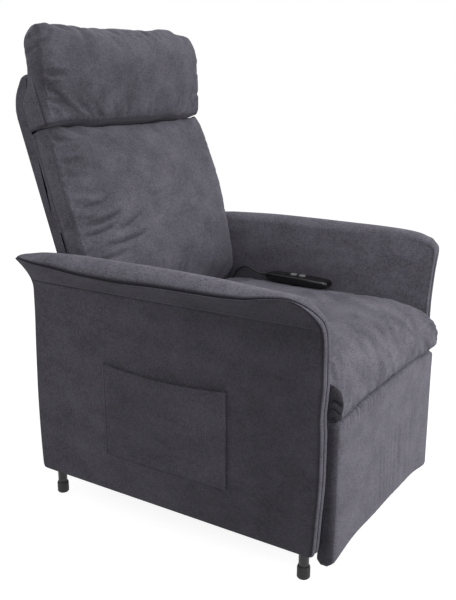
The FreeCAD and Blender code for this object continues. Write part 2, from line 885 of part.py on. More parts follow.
# The footrest linkage is two parallelograms on each side, so the board turns exactly with the cranks.
FOOT_END = "$footrest_link_radius"
plates(
    "footrest_cranks",
    "$crank_plane",
    [(CRANK_PIVOT, CRANK_KNEE), (CRANK_KNEE, CRANK_TOE)],
    FOOT_END,
    [(CRANK_PIVOT, FOOT_BORE), (CRANK_KNEE, FOOT_PIN), (CRANK_TOE, FOOT_PIN)],
)
plates(
    "footrest_rockers",
    "$crank_plane",
    [(ROCKER_PIVOT, ROCKER_KNEE)],
    FOOT_END,
    [(ROCKER_PIVOT, FOOT_BORE), (ROCKER_KNEE, FOOT_OPEN_BORE)],
)
plates(
    "footrest_long_links",
    "$long_link_plane",
    [(ROCKER_KNEE, CRANK_KNEE), (CRANK_KNEE, FOOTREST_PIVOT)],
    FOOT_END,
    [(ROCKER_KNEE, FOOT_PIN), (CRANK_KNEE, FOOT_BORE), (FOOTREST_PIVOT, FOOT_BORE)],
)
plates(
    "footrest_short_links",
    "$long_link_plane",
    [(CRANK_TOE, FOOTREST_TOE)],
    FOOT_END,
    [(CRANK_TOE, FOOT_BORE), (FOOTREST_TOE, FOOT_OPEN_BORE)],
)
BOARD_SIDE = "$footrest_face + $footrest_pad_thickness + $footrest_board_thickness + $footrest_link_radius"
plates(
    "footrest_brackets",
    "$footrest_bracket_plane",
    [
        (FOOTREST_PIVOT, FOOTREST_TOE),
        ((BOARD_SIDE, FOOTREST_PIVOT[1]), FOOTREST_PIVOT),
        ((BOARD_SIDE, FOOTREST_TOE[1]), FOOTREST_TOE),
    ],
    FOOT_END,
    [(FOOTREST_PIVOT, FOOT_PIN), (FOOTREST_TOE, FOOT_PIN)],
)
LINK_NEAR = "$long_link_plane"
CRANK_FAR = "$crank_plane + $link_thickness"
LINK_FAR = "$long_link_plane + $link_thickness"
BRACKET_NEAR = "$footrest_bracket_plane"
crank_link_pins = []
rocker_link_pins = []
board_pins = []
for side, word in SIDES:
    for spot in (CRANK_KNEE, CRANK_TOE):
        crank_link_pins.append(headed_pin(side, spot, LINK_NEAR, CRANK_FAR, FOOT_PIN, "near"))
    rocker_link_pins.append(headed_pin(side, ROCKER_KNEE, LINK_NEAR, CRANK_FAR, FOOT_PIN, "near"))
    for spot in (FOOTREST_PIVOT, FOOTREST_TOE):
        board_pins.append(headed_pin(side, spot, BRACKET_NEAR, LINK_FAR, FOOT_PIN, "near"))
finish(group(crank_link_pins), "crank_link_pins")
finish(group(rocker_link_pins), "rocker_link_pins")
finish(group(board_pins), "footrest_pins")
board = box(
    "-$footrest_half_width + 12",
    "$footrest_face + $footrest_pad_thickness",
    "$footrest_bottom + 12",
    "2 * $footrest_half_width - 24",
    "$footrest_board_thickness",
    "$footrest_top - $footrest_bottom - 24",
)
finish(board, "footrest_board")


# Soft pieces are lofts through profiles of lines and arcs. A profile is a list of corners in one plane,
# and a corner with a third value is reached by an arc through that value.
def profile(corners, to_space):
    edges = []
    for index, corner in enumerate(corners):
        start = to_space(corners[index - 1][:2])
        end = to_space(corner[:2])
        if len(corner) == 3:
            edges.append(Part.Arc(start, to_space(corner[2]), end).toShape())
        else:
            edges.append(Part.LineSegment(start, end).toShape())
    return Part.Wire(edges)


def across(x):
    return lambda point: Vector(x, point[0], point[1])


def loft(sections):
    return Part.makeLoft(sections, True, False)


# The seat cushion is crowned, drawn in at its sides, and rolls over the front above the footrest.
SEAT_FLOOR = size("box_top") + size("webbing_thickness") + size("fit_gap")
SEAT_UNDER_ROLL = size("footrest_top") + 4


def seat_profile(x, drop, draw_in):
    front = size("seat_front") + draw_in
    rear = size("seat_rear")
    top = size("seat_top") - drop
    floor = SEAT_FLOOR
    under = SEAT_UNDER_ROLL
    corners = [
        (rear, floor),
        (size("front_rail_depth"), floor),
        (size("front_rail_depth") - 4, under),
        (front + 13, under),
        (front + 22, top - 22, (front, under + 40)),
        (front + 120, top - 4, (front + 62, top - 9)),
        (rear, top - 22, (front + 370, top + 4)),
    ]
    return profile(corners, across(x))


seat_half = size("seat_half_width")
# Share of the half width, drop of the top, and draw-in of the front
SEAT_SIDE_STATIONS = [(1, 24, 12), (0.985, 13, 7), (0.95, 5, 3), (0.88, 1.5, 1), (0.6, 0, 0)]
SEAT_STATIONS = SEAT_SIDE_STATIONS + [(-share, drop, pull) for share, drop, pull in SEAT_SIDE_STATIONS[::-1]]
seat = soft_form(loft([seat_profile(share * seat_half, drop, pull) for share, drop, pull in SEAT_STATIONS]))
finish(seat, "seat_cushion")


# The footrest pad is a rounded slab on its board.
def footrest_profile(x, inset):
    face = size("footrest_face") + inset
    rear = size("footrest_face") + size("footrest_pad_thickness")
    low = size("footrest_bottom") + inset / 3
    high = size("footrest_top") - inset / 3
    round_off = size("footrest_corner") - 12
    bend = 0.3 * round_off
    corners = [
        (rear, high),
        (face + round_off, high),
        (face, high - round_off, (face + bend, high - bend)),
        (face, low + round_off, (face - 1.5, (low + high) / 2)),
        (face + round_off, low, (face + bend, low + bend)),
        (rear, low),
    ]
    return profile(corners, across(x))


pad_half = size("footrest_half_width")
PAD_ENDS = [(pad_half, 22), (pad_half - 6, 9), (pad_half - 22, 0)]
PAD_STATIONS = PAD_ENDS + [(-x, inset) for x, inset in reversed(PAD_ENDS)]
footrest_pad = soft_form(Part.makeLoft([footrest_profile(x, inset) for x, inset in PAD_STATIONS], True, True))
finish(footrest_pad, "footrest_pad")


# The back's pieces are drawn upright, with the recline pivot at the origin, and then leaned back.
# A point there is given as its height along the back and its reach in front of the pivot.
def upright(x):
    return lambda point: Vector(x, -point[1], point[0])


def finish_back(piece, label):
    return finish(piece, label, "0", "$recline_depth", "$recline_height", "-$back_lean")


def shell_profile(x, inset):
    rear = size("shell_rear") + inset
    front = size("shell_front")
    start = size("shell_start")
    end = size("shell_end")
    corners = [
        (start, front),
        (start, rear),
        (end - 81, rear),
        (end - 15, front + 4 + inset / 2, (end - 44, rear + 10)),
        (end - inset / 2, front + 40, (end - 4 - inset / 2, front + 21)),
        (end - 21, front + 32),
        (end - 61, front, (end - 37, front + 12)),
    ]
    return profile(corners, upright(x))


back_half = size("back_half_width")
SHELL_ENDS = [(back_half, 10), (back_half - 5, 3), (back_half - 16, 0)]
SHELL_STATIONS = SHELL_ENDS + [(-x, inset) for x, inset in reversed(SHELL_ENDS)]
shell_shape = Part.makeLoft([shell_profile(x, inset) for x, inset in SHELL_STATIONS], True, True)
hollow_half = size("back_inner_half_width")
hollow_rear = size("shell_rear") + size("shell_wall")
hollow = Part.makeBox(
    2 * hollow_half,
    60,
    size("back_board_end") - size("shell_start") + 30,
    Vector(-hollow_half, -hollow_rear - 60, size("shell_start") - 30),
)
back_shell = soft_form(shell_shape.cut(hollow))
finish_back(back_shell, "back_shell")

back_board = box(
    "-$recline_plate_plane + 0.2",
    "-$shell_front",
    "$back_board_start",
    "2 * $recline_plate_plane - 0.4",
    "$shell_front - $shell_rear - $shell_wall",
    "$back_board_end - $back_board_start",
)
finish_back(group([back_board]), "back_board")


def cushion_profile(x, share):
    base = size("shell_front") + size("fit_gap")
    start = size("cushion_start")
    end = size("cushion_end")
    corners = [
        (end, base),
        (start, base),
        (66, max(base + 4, 44 * share)),
        (200, 104 * share, (124, 88 * share)),
        (400, 104 * share, (300, 108.5 * share)),
        (end, 86 * share, (458, 99 * share)),
    ]
    return profile(corners, upright(x))


CUSHION_ENDS = [(back_half, 0.62), (0.955 * back_half, 0.9), (0.7 * back_half, 1)]
CUSHION_STATIONS = CUSHION_ENDS + [(0, 1.03)] + [(-x, share) for x, share in reversed(CUSHION_ENDS)]
back_cushion = soft_form(loft([cushion_profile(*station) for station in CUSHION_STATIONS]))
finish_back(back_cushion, "back_cushion")


def pillow_profile(x, share):
    base = size("shell_front") + size("fit_gap")
    start = size("pillow_start")
    tall = size("pillow_height")
    middle = size("pillow_middle")
    thick = size("pillow_thickness") * share
    high = start + tall * (0.797 + 0.202 * share)
    shell_end = size("shell_end")
    corners = [
        (shell_end - 65, base),
        (start, base),
        (start, middle + 0.15 * thick),
        (start + 0.5 * tall, middle + 0.85 * thick, (start + 0.22 * tall, middle + 0.52 * thick)),
        (start + 0.87 * tall, middle + 0.98 * thick, (start + 0.71 * tall, middle + thick)),
        (high, middle + 0.12 * thick, (high - 0.04 * tall, middle + 0.75 * thick)),
        (start + 0.83 * tall, middle - 0.37 * thick, (high - 0.03 * tall, middle - 0.21 * thick)),
        (start + 0.64 * tall, middle - 0.21 * thick, (start + 0.73 * tall, middle - 0.36 * thick)),
        (shell_end + 6, middle - 4),
        (shell_end - 21, middle - 15),
    ]
    return profile(corners, upright(x))


pillow_half = back_half + 3
PILLOW_ENDS = [(pillow_half, 0.55), (0.96 * pillow_half, 0.85), (0.72 * pillow_half, 1)]
PILLOW_STATIONS = PILLOW_ENDS + [(0, 1.02)] + [(-x, share) for x, share in reversed(PILLOW_ENDS)]
head_pillow = soft_form(loft([pillow_profile(*station) for station in PILLOW_STATIONS]))
finish_back(head_pillow, "head_pillow")

# The back turns on two plates and a cross tube, whose crank takes the recline actuator's rod.
back_plates = []
for side, word in SIDES:
    body = doc.addObject("PartDesign::Body", "plate")
    plane = side_plane(side, "$recline_plate_plane", "$recline_plate_thickness")
    bar_reach = "-($shell_front + $shell_rear + $shell_wall) / 2"
    bar_radius = "($shell_front - $shell_rear - $shell_wall) / 2"
    lug_end = ("-$recline_lug_reach", "$recline_lug_rise")
    for start, end, radius in (
        (("0", "0"), lug_end, "$recline_lug_radius"),
        ((bar_reach, "$recline_lug_rise"), (bar_reach, "$recline_plate_length"), bar_radius),
    ):
        sketch = sketch_on(body, "YZ_Plane", plane)
        draw_link(sketch, start, end, radius)
        pad(body, sketch, "$recline_plate_thickness")
    sketch = sketch_on(body, "YZ_Plane", plane)
    draw_hole(sketch, ("0", "0"), "$recline_pin_radius + $running_gap")
    pocket_through(body, sketch)
    back_plates.append(body)
finish_back(group(back_plates), "recline_plates")
recline_tube = round_bar("-$recline_plate_plane", "0", "0", "10", "2 * $recline_plate_plane")
finish(recline_tube, "recline_tube", "0", RECLINE_PIVOT[0], RECLINE_PIVOT[1])
plate_pair(
    "recline_crank",
    "$recline_motor_side",
    RECLINE_PIVOT,
    RECLINE_CRANK_EYE,
    "$rod_pin_radius + $recline_crank_slack + 6",
    [(RECLINE_PIVOT, "10"), (RECLINE_CRANK_EYE, ROD_BORE_RECLINE)],
)


# Each arm is a padded wing: its section flares outwards to a lip above the seam and rolls over the top.
def arm_profile(side, y, lip_out, lip_height, roll_in, roll_height):
    outer = size("arm_outer")
    inner = outer - size("arm_thickness")
    seam = size("roll_height") - size("lip_drop") - size("flare_height")
    floor = size("arm_bottom") - 10
    tip = outer + lip_out
    corners = [
        (inner, floor),
        (outer, floor),
        (outer, seam),
        (tip, lip_height, (outer + 0.26 * lip_out, (seam + lip_height) / 2 + 5)),
        (tip - 6, lip_height + 26, (tip + 4, lip_height + 14)),
        (roll_in + 8, roll_height - 16, ((tip + roll_in) / 2 - 2, roll_height)),
        (inner, roll_height - 92, ((roll_in + inner) / 2 - 1, roll_height - 46)),
    ]
    return profile(corners, lambda point: Vector(side * point[0], y, point[1]))


# Distance from the front, reach of the lip, its height, the roll's inner side, and the roll's top
lip = size("lip_reach")
top = size("roll_height")
low_lip = top - size("lip_drop")
ARM_STATIONS = [
    (-40, lip - 8, low_lip + 4, 306, top - 30),
    (45, lip - 2, low_lip + 12, 301, top - 14),
    (160, lip, low_lip + 4, 290, top - 3),
    (330, lip, low_lip, 286, top + 1),
    (560, lip, low_lip, 286, top),
    (690, lip + 2, low_lip + 6, 289, top - 10),
    (770, lip + 10, low_lip + 18, 296, top - 22),
]


def arm_side(side):
    low = size("arm_bottom")
    depth = size("arm_depth")
    corner = size("arm_corner")
    bow = size("arm_front_bow")
    top_corner = size("arm_top_corner")
    seam = size("roll_height") - size("lip_drop") - size("flare_height")
    high = size("roll_height") + 30
    outline = [
        (corner, low, (0.3 * corner, low + 0.3 * corner)),
        (depth - corner, low),
        (depth, low + corner, (depth - 0.3 * corner, low + 0.3 * corner)),
        (depth, high),
        (0.95 * top_corner, high),
        (-0.4 * bow, seam, (0.17 * top_corner, seam + 0.62 * top_corner)),
        (0, low + corner, (-bow, low + 0.55 * (seam - low))),
    ]
    reach = size("arm_outer") + 80
    near = size("arm_outer") - size("arm_thickness")
    start = near if side > 0 else -reach
    wire = profile(outline, lambda point: Vector(start, point[0], point[1]))
    return Part.Face(wire).extrude(Vector(reach - near, 0, 0))


for side, word in SIDES:
    section = loft([arm_profile(side, *station) for station in ARM_STATIONS])
    arm = section.common(arm_side(side))
    finish(soft_form(arm), "arm_" + word)

# A cloth pocket is sewn to the outside of the right arm along three edges and stands open at the top.
pocket = doc.addObject("PartDesign::Body", "pocket")


def pocket_outline(sketch, inset, rise):
    front = size("pocket_front") + inset
    rear = size("pocket_rear") - inset
    low = size("pocket_bottom") + inset
    high = size("pocket_top") + rise
    sag = size("pocket_sag")
    points = [Vector(front, high, 0), Vector(front, low, 0), Vector(rear, low, 0), Vector(rear, high, 0)]
    for start, end in zip(points, points[1:]):
        sketch.addGeometry(Part.LineSegment(start, end))
    dip = Vector((front + rear) / 2, high - sag, 0)
    sketch.addGeometry(Part.Arc(points[0], dip, points[3]))


sketch = sketch_on(pocket, "YZ_Plane", "-$arm_outer - $pocket_stand_off")
pocket_outline(sketch, 0, 0)
pad(pocket, sketch, "$pocket_stand_off")
sketch = sketch_on(pocket, "YZ_Plane", "-$arm_outer - $pocket_stand_off + $pocket_cloth")
pocket_outline(sketch, size("pocket_seam"), 30)
hollow_feature = pocket.newObject("PartDesign::Pocket", "hollow")
hollow_feature.Profile = sketch
hollow_feature.Reversed = True
hollow_feature.setExpression("Length", expression("$pocket_stand_off"))
finish(pocket, "side_pocket")

# The handset lies on the seat beside the left arm. Its two buttons sit in round wells.
HANDSET_PLACE = ("$handset_side", "$handset_depth", "$handset_height")
Z_AXIS = Vector(0, 0, 1)
handset = doc.addObject("PartDesign::Body", "handset")
sketch = sketch_on(handset, "XY_Plane", "0")
half_width = "$handset_width / 2"
half_length = "$handset_length / 2"
draw_polygon(
    sketch,
    [
        ("-" + half_width, "-" + half_length),
        (half_width, "-" + half_length),
        ("%s - 5" % half_width, half_length),
        ("5 - " + half_width, half_length),
    ],
)
block = pad(handset, sketch, "$handset_thickness")
doc.recompute()
upright_edges = [
    "Edge%d" % (index + 1)
    for index, edge in enumerate(block.Shape.Edges)
    if abs(edge.tangentAt(edge.FirstParameter).z) > 0.9
]
rounded = handset.newObject("PartDesign::Fillet", "rounded")
rounded.Base = (block, upright_edges)
rounded.Radius = 16
doc.recompute()
rims = [
    "Edge%d" % (index + 1)
    for index, edge in enumerate(rounded.Shape.Edges)
    if edge.BoundBox.ZLength < 0.01
]
softened = handset.newObject("PartDesign::Fillet", "softened")
softened.Base = (rounded, rims)
softened.Radius = 6
doc.recompute()
BUTTON_SPOTS = (("up", "-$button_spacing / 2"), ("down", "$button_spacing / 2"))
sketch = sketch_on(handset, "XY_Plane", "$handset_thickness")
for word, along in BUTTON_SPOTS:
    draw_hole(sketch, ("0", along), "$button_radius + $fit_gap")
wells = handset.newObject("PartDesign::Pocket", "wells")
wells.Profile = sketch
wells.setExpression("Length", expression("$button_height + $button_travel + $fit_gap"))
finish(handset, "handset", *HANDSET_PLACE, "$handset_turn", Z_AXIS)

for word, along in BUTTON_SPOTS:
    button = round_bar("0", along, "0", "$button_radius", "2 * $button_height", along_x=False)
    button.setExpression("Placement.Base.z", expression("$handset_thickness - $button_height"))
    finish(group([button]), "button_" + word, *HANDSET_PLACE, "$handset_turn", Z_AXIS)

# The handset's cord leaves a tapered gland, rises in a low loop over the seat, and goes down into the
# corner of seat, back and arm.
gland = doc.addObject("PartDesign::Body", "gland")
sketch = sketch_on(gland, "XY_Plane", "0")
draw_polygon(
    sketch,
    [
        ("0", "0"),
        ("$gland_radius", "0"),
        ("$gland_radius", "3"),
        ("$cord_diameter / 2 + 0.8", "$gland_length"),
        ("0", "$gland_length"),
    ],
)
turned = gland.newObject("PartDesign::Revolution", "turned")
turned.Profile = sketch
turned.ReferenceAxis = (sketch, ["V_Axis"])
turned.Angle = 360
GLAND_PLACE = (
    "$handset_side - $handset_length / 2 * sin($handset_turn)",
    "$handset_depth + $handset_length / 2 * cos($handset_turn)",
    "$handset_height + $handset_thickness / 2",
)
finish(gland, "handset_gland", *GLAND_PLACE, "$handset_turn", Z_AXIS)


# A cord's middle line is made of straight runs joined by tangent arcs, as wide as the shorter run allows.
def cord_line(points):
    edges = []
    radii = []
    start = points[0]
    for before, corner, after in zip(points, points[1:], points[2:]):
        arriving = (corner - before).normalize()
        leaving = (after - corner).normalize()
        half_turn = arriving.getAngle(leaving) / 2
        reach = 0.45 * min((corner - before).Length, (after - corner).Length)
        radius = reach / math.tan(half_turn)
        arc_start = corner - arriving * reach
        arc_end = corner + leaving * reach
        inward = (leaving - arriving).normalize()
        arc_middle = corner + inward * (radius / math.cos(half_turn) - radius)
        edges.append(Part.LineSegment(start, arc_start).toShape())
        edges.append(Part.Arc(arc_start, arc_middle, arc_end).toShape())
        radii.append(radius)
        start = arc_end
    edges.append(Part.LineSegment(start, points[-1]).toShape())
    print("cord bend radii", [round(radius, 1) for radius in radii])
    return Part.Wire(edges)


def cord_tube(points, diameter):
    line = cord_line(points)
    ring = Part.Circle(points[0], points[1] - points[0], diameter / 2)
    tube = line.makePipeShell([Part.Wire([ring.toShape()])], True, False)
    section = math.pi * diameter**2 / 4
    print("cord length", round(line.Length, 1), "volume share", round(tube.Volume / (section * line.Length), 4))
    return tube


# The cord's corners, counted from the gland's end: to the left, rearwards and up.
# The last one lies a few millimetres inside the seat's rear corner.
CORD_STEPS = [
    (0, 0, 0),
    (1.05, 15, 0),
    (4.3, 37, 9),
    (8.7, 59, 13),
    (12.1, 81, 3),
    (14, 98, -15),
    (14.8, 110, -44),
]
gland_turn = math.radians(size("handset_turn"))
gland_end = Vector(*[worth(text) for text in GLAND_PLACE]) + size("gland_length") * Vector(
    -math.sin(gland_turn), math.cos(gland_turn), 0
)
cord_points = [gland_end + Vector(*step) for step in CORD_STEPS]
finish(soft_form(cord_tube(cord_points, size("cord_diameter"))), "handset_cord")

# The control box stands in front of the base's rear tube, with the mains inlet on its inner end.
control_box = box(
    "$control_box_side",
    "$base_rear_tube_depth - $control_box_width",
    "$rail_bottom",
    "$control_box_length",
    "$control_box_width",
    "$control_box_height",
)
finish(control_box, "control_box")
inlet_block = box(
    "$control_box_side - $inlet_length",
    "$base_rear_tube_depth - $control_box_width / 2 - $inlet_width / 2",
    "$rail_bottom + $control_box_height / 2 - $inlet_height / 2",
    "$inlet_length",
    "$inlet_width",
    "$inlet_height",
)
inlet_well = box(
    "$control_box_side - $inlet_length",
    "$base_rear_tube_depth - $control_box_width / 2 - $inlet_width / 2 + $tube_wall",
    "$rail_bottom + $control_box_height / 2 - $inlet_height / 2 + $tube_wall",
    "$inlet_length - $tube_wall",
    "$inlet_width - 2 * $tube_wall",
    "$inlet_height - 2 * $tube_wall",
)
finish(cut(inlet_block, inlet_well), "mains_inlet")

doc.recompute()
os.makedirs("parts", exist_ok=True)
for piece in SUB_PARTS:
    troubles = [word for word in piece.State if word in ("Invalid", "Error")]
    if troubles:
        raise RuntimeError("%s is %s" % (piece.Label, ", ".join(troubles)))
    if piece.Shape.isNull() or not piece.Shape.isValid():
        raise RuntimeError("%s has no valid shape" % piece.Label)
for item in doc.Objects:
    if "Invalid" in item.State or "Error" in item.State:
        raise RuntimeError("%s failed to compute" % item.Name)
for piece in SUB_PARTS:
    piece.Shape.exportStep("parts/%s.step" % piece.Label)
print("sub-parts", len(SUB_PARTS))
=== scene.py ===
import json
import math

import bpy
import numpy as np
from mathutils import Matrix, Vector, noise


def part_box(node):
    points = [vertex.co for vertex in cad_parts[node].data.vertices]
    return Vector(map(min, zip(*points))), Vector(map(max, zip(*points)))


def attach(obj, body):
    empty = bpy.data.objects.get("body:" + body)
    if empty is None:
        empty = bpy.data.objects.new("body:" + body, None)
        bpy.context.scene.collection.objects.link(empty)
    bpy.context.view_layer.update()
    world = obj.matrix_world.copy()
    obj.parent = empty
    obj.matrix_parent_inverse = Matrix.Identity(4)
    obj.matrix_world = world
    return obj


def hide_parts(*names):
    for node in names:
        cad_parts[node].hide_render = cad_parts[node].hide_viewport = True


# Lift recliner chair, in metres: Z up, the chair faces -Y, and +X is the sitter's left.
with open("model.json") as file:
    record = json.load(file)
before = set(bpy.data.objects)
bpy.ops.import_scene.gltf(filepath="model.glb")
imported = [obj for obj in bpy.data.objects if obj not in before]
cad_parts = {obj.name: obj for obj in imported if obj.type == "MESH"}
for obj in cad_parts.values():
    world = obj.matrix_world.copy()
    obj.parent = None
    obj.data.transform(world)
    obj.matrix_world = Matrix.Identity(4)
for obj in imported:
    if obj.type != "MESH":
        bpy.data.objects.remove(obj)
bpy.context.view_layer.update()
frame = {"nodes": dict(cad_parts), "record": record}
bpy.ops.object.select_all(action="DESELECT")

# Steel frame and linkage.
# Tubes, plates and arms are mild steel with a satin black powder coat, and the pins are zinc plated.
# They are the frame's own nodes with a finish of fine orange peel and rubbed places.
grain = bpy.data.node_groups.new("surface_grain", "ShaderNodeTree")
for label, value in (("Scale", 60.0), ("Stretch", 1.0)):
    socket = grain.interface.new_socket(label, in_out="INPUT", socket_type="NodeSocketFloat")
    socket.default_value = value
for label in ("Cloud", "Fine"):
    grain.interface.new_socket(label, in_out="OUTPUT", socket_type="NodeSocketFloat")
grain_in = grain.nodes.new("NodeGroupInput")
grain_out = grain.nodes.new("NodeGroupOutput")
grain_place = grain.nodes.new("ShaderNodeTexCoord")
grain_stretch = grain.nodes.new("ShaderNodeCombineXYZ")
grain_scaled = grain.nodes.new("ShaderNodeVectorMath")
grain_scaled.operation = "MULTIPLY"
grain_stretch.inputs["Y"].default_value = 1
grain_stretch.inputs["Z"].default_value = 1
grain.links.new(grain_in.outputs["Stretch"], grain_stretch.inputs["X"])
grain.links.new(grain_place.outputs["Object"], grain_scaled.inputs[0])
grain.links.new(grain_stretch.outputs[0], grain_scaled.inputs[1])
for label, share in (("Cloud", 0.12), ("Fine", 12)):
    scale = grain.nodes.new("ShaderNodeMath")
    scale.operation = "MULTIPLY"
    scale.inputs[1].default_value = share
    cloud = grain.nodes.new("ShaderNodeTexNoise")
    cloud.inputs["Detail"].default_value = 4
    grain.links.new(grain_in.outputs["Scale"], scale.inputs[0])
    grain.links.new(scale.outputs[0], cloud.inputs["Scale"])
    grain.links.new(grain_scaled.outputs[0], cloud.inputs["Vector"])
    grain.links.new(cloud.outputs["Fac"], grain_out.inputs[label])


def hard_finish(name, dark, light, roughness, metallic=0.0, scale=60.0, stretch=1.0, relief=0.00004):
    """A hard surface, clouded between two colours and two degrees of shine, with a fine grain."""
    material = bpy.data.materials.new(name)
    material.use_nodes = True
    nodes = material.node_tree.nodes
    links = material.node_tree.links
    shader = nodes["Principled BSDF"]
    shader.inputs["Metallic"].default_value = metallic
    texture = nodes.new("ShaderNodeGroup")
    texture.node_tree = grain
    texture.inputs["Scale"].default_value = scale
    texture.inputs["Stretch"].default_value = stretch
    colours = nodes.new("ShaderNodeMix")
    colours.data_type = "RGBA"
    colours.inputs["A"].default_value = (*dark, 1)
    colours.inputs["B"].default_value = (*light, 1)
    links.new(texture.outputs["Cloud"], colours.inputs["Factor"])
    links.new(colours.outputs["Result"], shader.inputs["Base Color"])
    rubbed = nodes.new("ShaderNodeMapRange")
    rubbed.inputs["To Min"].default_value = roughness - 0.1
    rubbed.inputs["To Max"].default_value = roughness + 0.1
    links.new(texture.outputs["Cloud"], rubbed.inputs["Value"])
    links.new(rubbed.outputs["Result"], shader.inputs["Roughness"])
    bump = nodes.new("ShaderNodeBump")
    bump.inputs["Distance"].default_value = relief
    links.new(texture.outputs["Fine"], bump.inputs["Height"])
    links.new(bump.outputs["Normal"], shader.inputs["Normal"])
    return material


def paint(piece, material):
    piece.data.materials.clear()
    piece.data.materials.append(material)
    for polygon in piece.data.polygons:
        polygon.material_index = 0


powder_coat = hard_finish("black_powder_coat", (0.01, 0.01, 0.011), (0.026, 0.026, 0.028), roughness=0.42)
zinc = hard_finish(
    "zinc_plate", (0.42, 0.42, 0.41), (0.6, 0.6, 0.58), roughness=0.34, metallic=1.0, scale=90
)
ground_rod = hard_finish(
    "ground_rod", (0.55, 0.55, 0.56), (0.7, 0.7, 0.71), roughness=0.2, metallic=1.0, scale=80, stretch=0.2
)
FINISHES = {"black_steel": powder_coat, "bright_steel": zinc}
SLOT_OF = {part["node"]: part["material_slot"] for part in frame["record"]["subparts"]}
for node, slot in SLOT_OF.items():
    if slot in FINISHES:
        paint(frame["nodes"][node], FINISHES[slot])
for node in ("lift_rod", "recline_rod"):
    paint(frame["nodes"][node], ground_rod)

# Seat box and boards.
# Pale plywood sides, rails and boards, glued and stapled to a box under the seat, with the grain
# along the boards, and black woven straps stretched over the top.
plywood = hard_finish(
    "plywood", (0.34, 0.2, 0.1), (0.56, 0.38, 0.21), roughness=0.6, scale=160, stretch=0.08, relief=0.0002
)
strap = hard_finish(
    "woven_strap", (0.01, 0.01, 0.01), (0.05, 0.05, 0.052), roughness=0.85, scale=420, relief=0.0006
)
for node, slot in SLOT_OF.items():
    if slot == "frame_wood":
        paint(frame["nodes"][node], plywood)
paint(frame["nodes"]["seat_webbing"], strap)

# Plastic and rubber fittings.
# Actuator housings, control box, inlet and rail plugs are textured black nylon, and the foot caps are
# soft black rubber pushed over the legs.
nylon = hard_finish(
    "black_nylon", (0.012, 0.012, 0.013), (0.03, 0.03, 0.032), roughness=0.5, scale=260, relief=0.0002
)
rubber = hard_finish(
    "foot_rubber", (0.008, 0.008, 0.008), (0.022, 0.022, 0.022), roughness=0.62, scale=120, relief=0.0002
)
for node in ("rail_plugs", "control_box", "mains_inlet", "lift_motor", "recline_motor"):
    paint(frame["nodes"][node], nylon)
paint(frame["nodes"]["foot_caps"], rubber)

# Arms.
# Padded wings in dark grey chenille. The outer panel has a sewn crease below the flare, and a welt
# seam follows the flare's lip and goes down the front edge as a groove between two ridges.
ARMS_FRONT = -0.3786
ARM_INNER, ARM_OUTER = 0.284, 0.314
CREASE_HEIGHT, CREASE_DEPTH = 0.553, 0.0042
# Where the even rows of points go, as shares of the arm's height: closest around the crease
ROW_PLACES = (-1, -0.88, 0.22, 0.42, 0.68, 0.8, 1)
ROW_HEIGHTS = (0, 0.05, 0.6, 0.805, 0.865, 0.9, 1)
# The heights at which the outer panel starts to flare and the inner face to lean
FLARE_START, LEAN_START = 0.532, 0.49
# The roll takes this share of an edge strip's girth, and the welt the rest
ROLL_GIRTH = 0.78


def cut_block(name, cuts):
    """A cube two units wide, cut into a grid along each axis."""
    bpy.ops.object.select_all(action="DESELECT")
    bpy.ops.mesh.primitive_cube_add(size=2)
    block = bpy.context.object
    block.name = name
    for axis, count in enumerate(cuts):
        bpy.ops.object.mode_set(mode="EDIT")
        bpy.ops.mesh.select_mode(type="EDGE")
        bpy.ops.mesh.select_all(action="DESELECT")
        bpy.ops.object.mode_set(mode="OBJECT")
        corners = block.data.vertices
        for edge in block.data.edges:
            start, end = edge.vertices
            edge.select = abs(corners[start].co[axis] - corners[end].co[axis]) > 1e-4
        bpy.ops.object.mode_set(mode="EDIT")
        bpy.ops.mesh.subdivide(number_cuts=count)
        bpy.ops.object.mode_set(mode="OBJECT")
    return block


def points_of(piece):
    points = np.empty(len(piece.data.vertices) * 3)
    piece.data.vertices.foreach_get("co", points)
    return points.reshape(-1, 3)


def set_points(piece, points):
    piece.data.vertices.foreach_set("co", np.ascontiguousarray(points).ravel())
    piece.data.update()


def flowing(where, stations):
    """A smooth line without overshoot through stations, each a place followed by its values."""
    table = np.array(stations, float)
    places, values = table[:, 0], table[:, 1:]
    steps = np.diff(values, axis=0) / np.diff(places)[:, None]
    product = steps[:-1] * steps[1:]
    total = steps[:-1] + steps[1:]
    middle = np.where(product > 0, 2 * product / np.where(product > 0, total, 1), 0)
    slopes = np.vstack([steps[:1], middle, steps[-1:]])
    index = np.clip(np.searchsorted(places, where, side="right") - 1, 0, len(places) - 2)
    step = (places[index + 1] - places[index])[..., None]
    share = np.clip((where - places[index])[..., None] / step, 0, 1)
    ease = share**2 * (3 - 2 * share)
    leaving = share * (1 - share) ** 2 * step * slopes[index]
    arriving = share**2 * (1 - share) * step * slopes[index + 1]
    return np.squeeze(values[index] * (1 - ease) + values[index + 1] * ease + leaving - arriving)


def rounded(share, power=2.2):
    """1 in the middle, round at the shoulders and 0 at a share of 1 or -1."""
    return np.clip(1 - np.abs(share) ** power, 0, 1) ** (1 / power)


def bell(distance, width):
    """1 at no distance, and soon 0 past the width."""
    return np.exp(-((distance / width) ** 2))


def rising(value, start, span):
    """0 up to start, then evenly up to 1 over the span."""
    return np.clip((value - start) / span, 0, 1)


def falling(value, end, span):
    """1 until a span before the end, then evenly down to 0."""
    return np.clip((end - value) / span, 0, 1)


def unit(vectors):
    return vectors / np.maximum(np.linalg.norm(vectors, axis=-1, keepdims=True), 1e-9)


def soft_waves(points, size, seed):
    """Smooth noise between -1 and 1 at each point, for uneven filling."""
    shift = Vector((seed * 7.3, seed * 3.1, seed * 5.7))
    return np.array([noise.noise(Vector(point) / size + shift) for point in points])


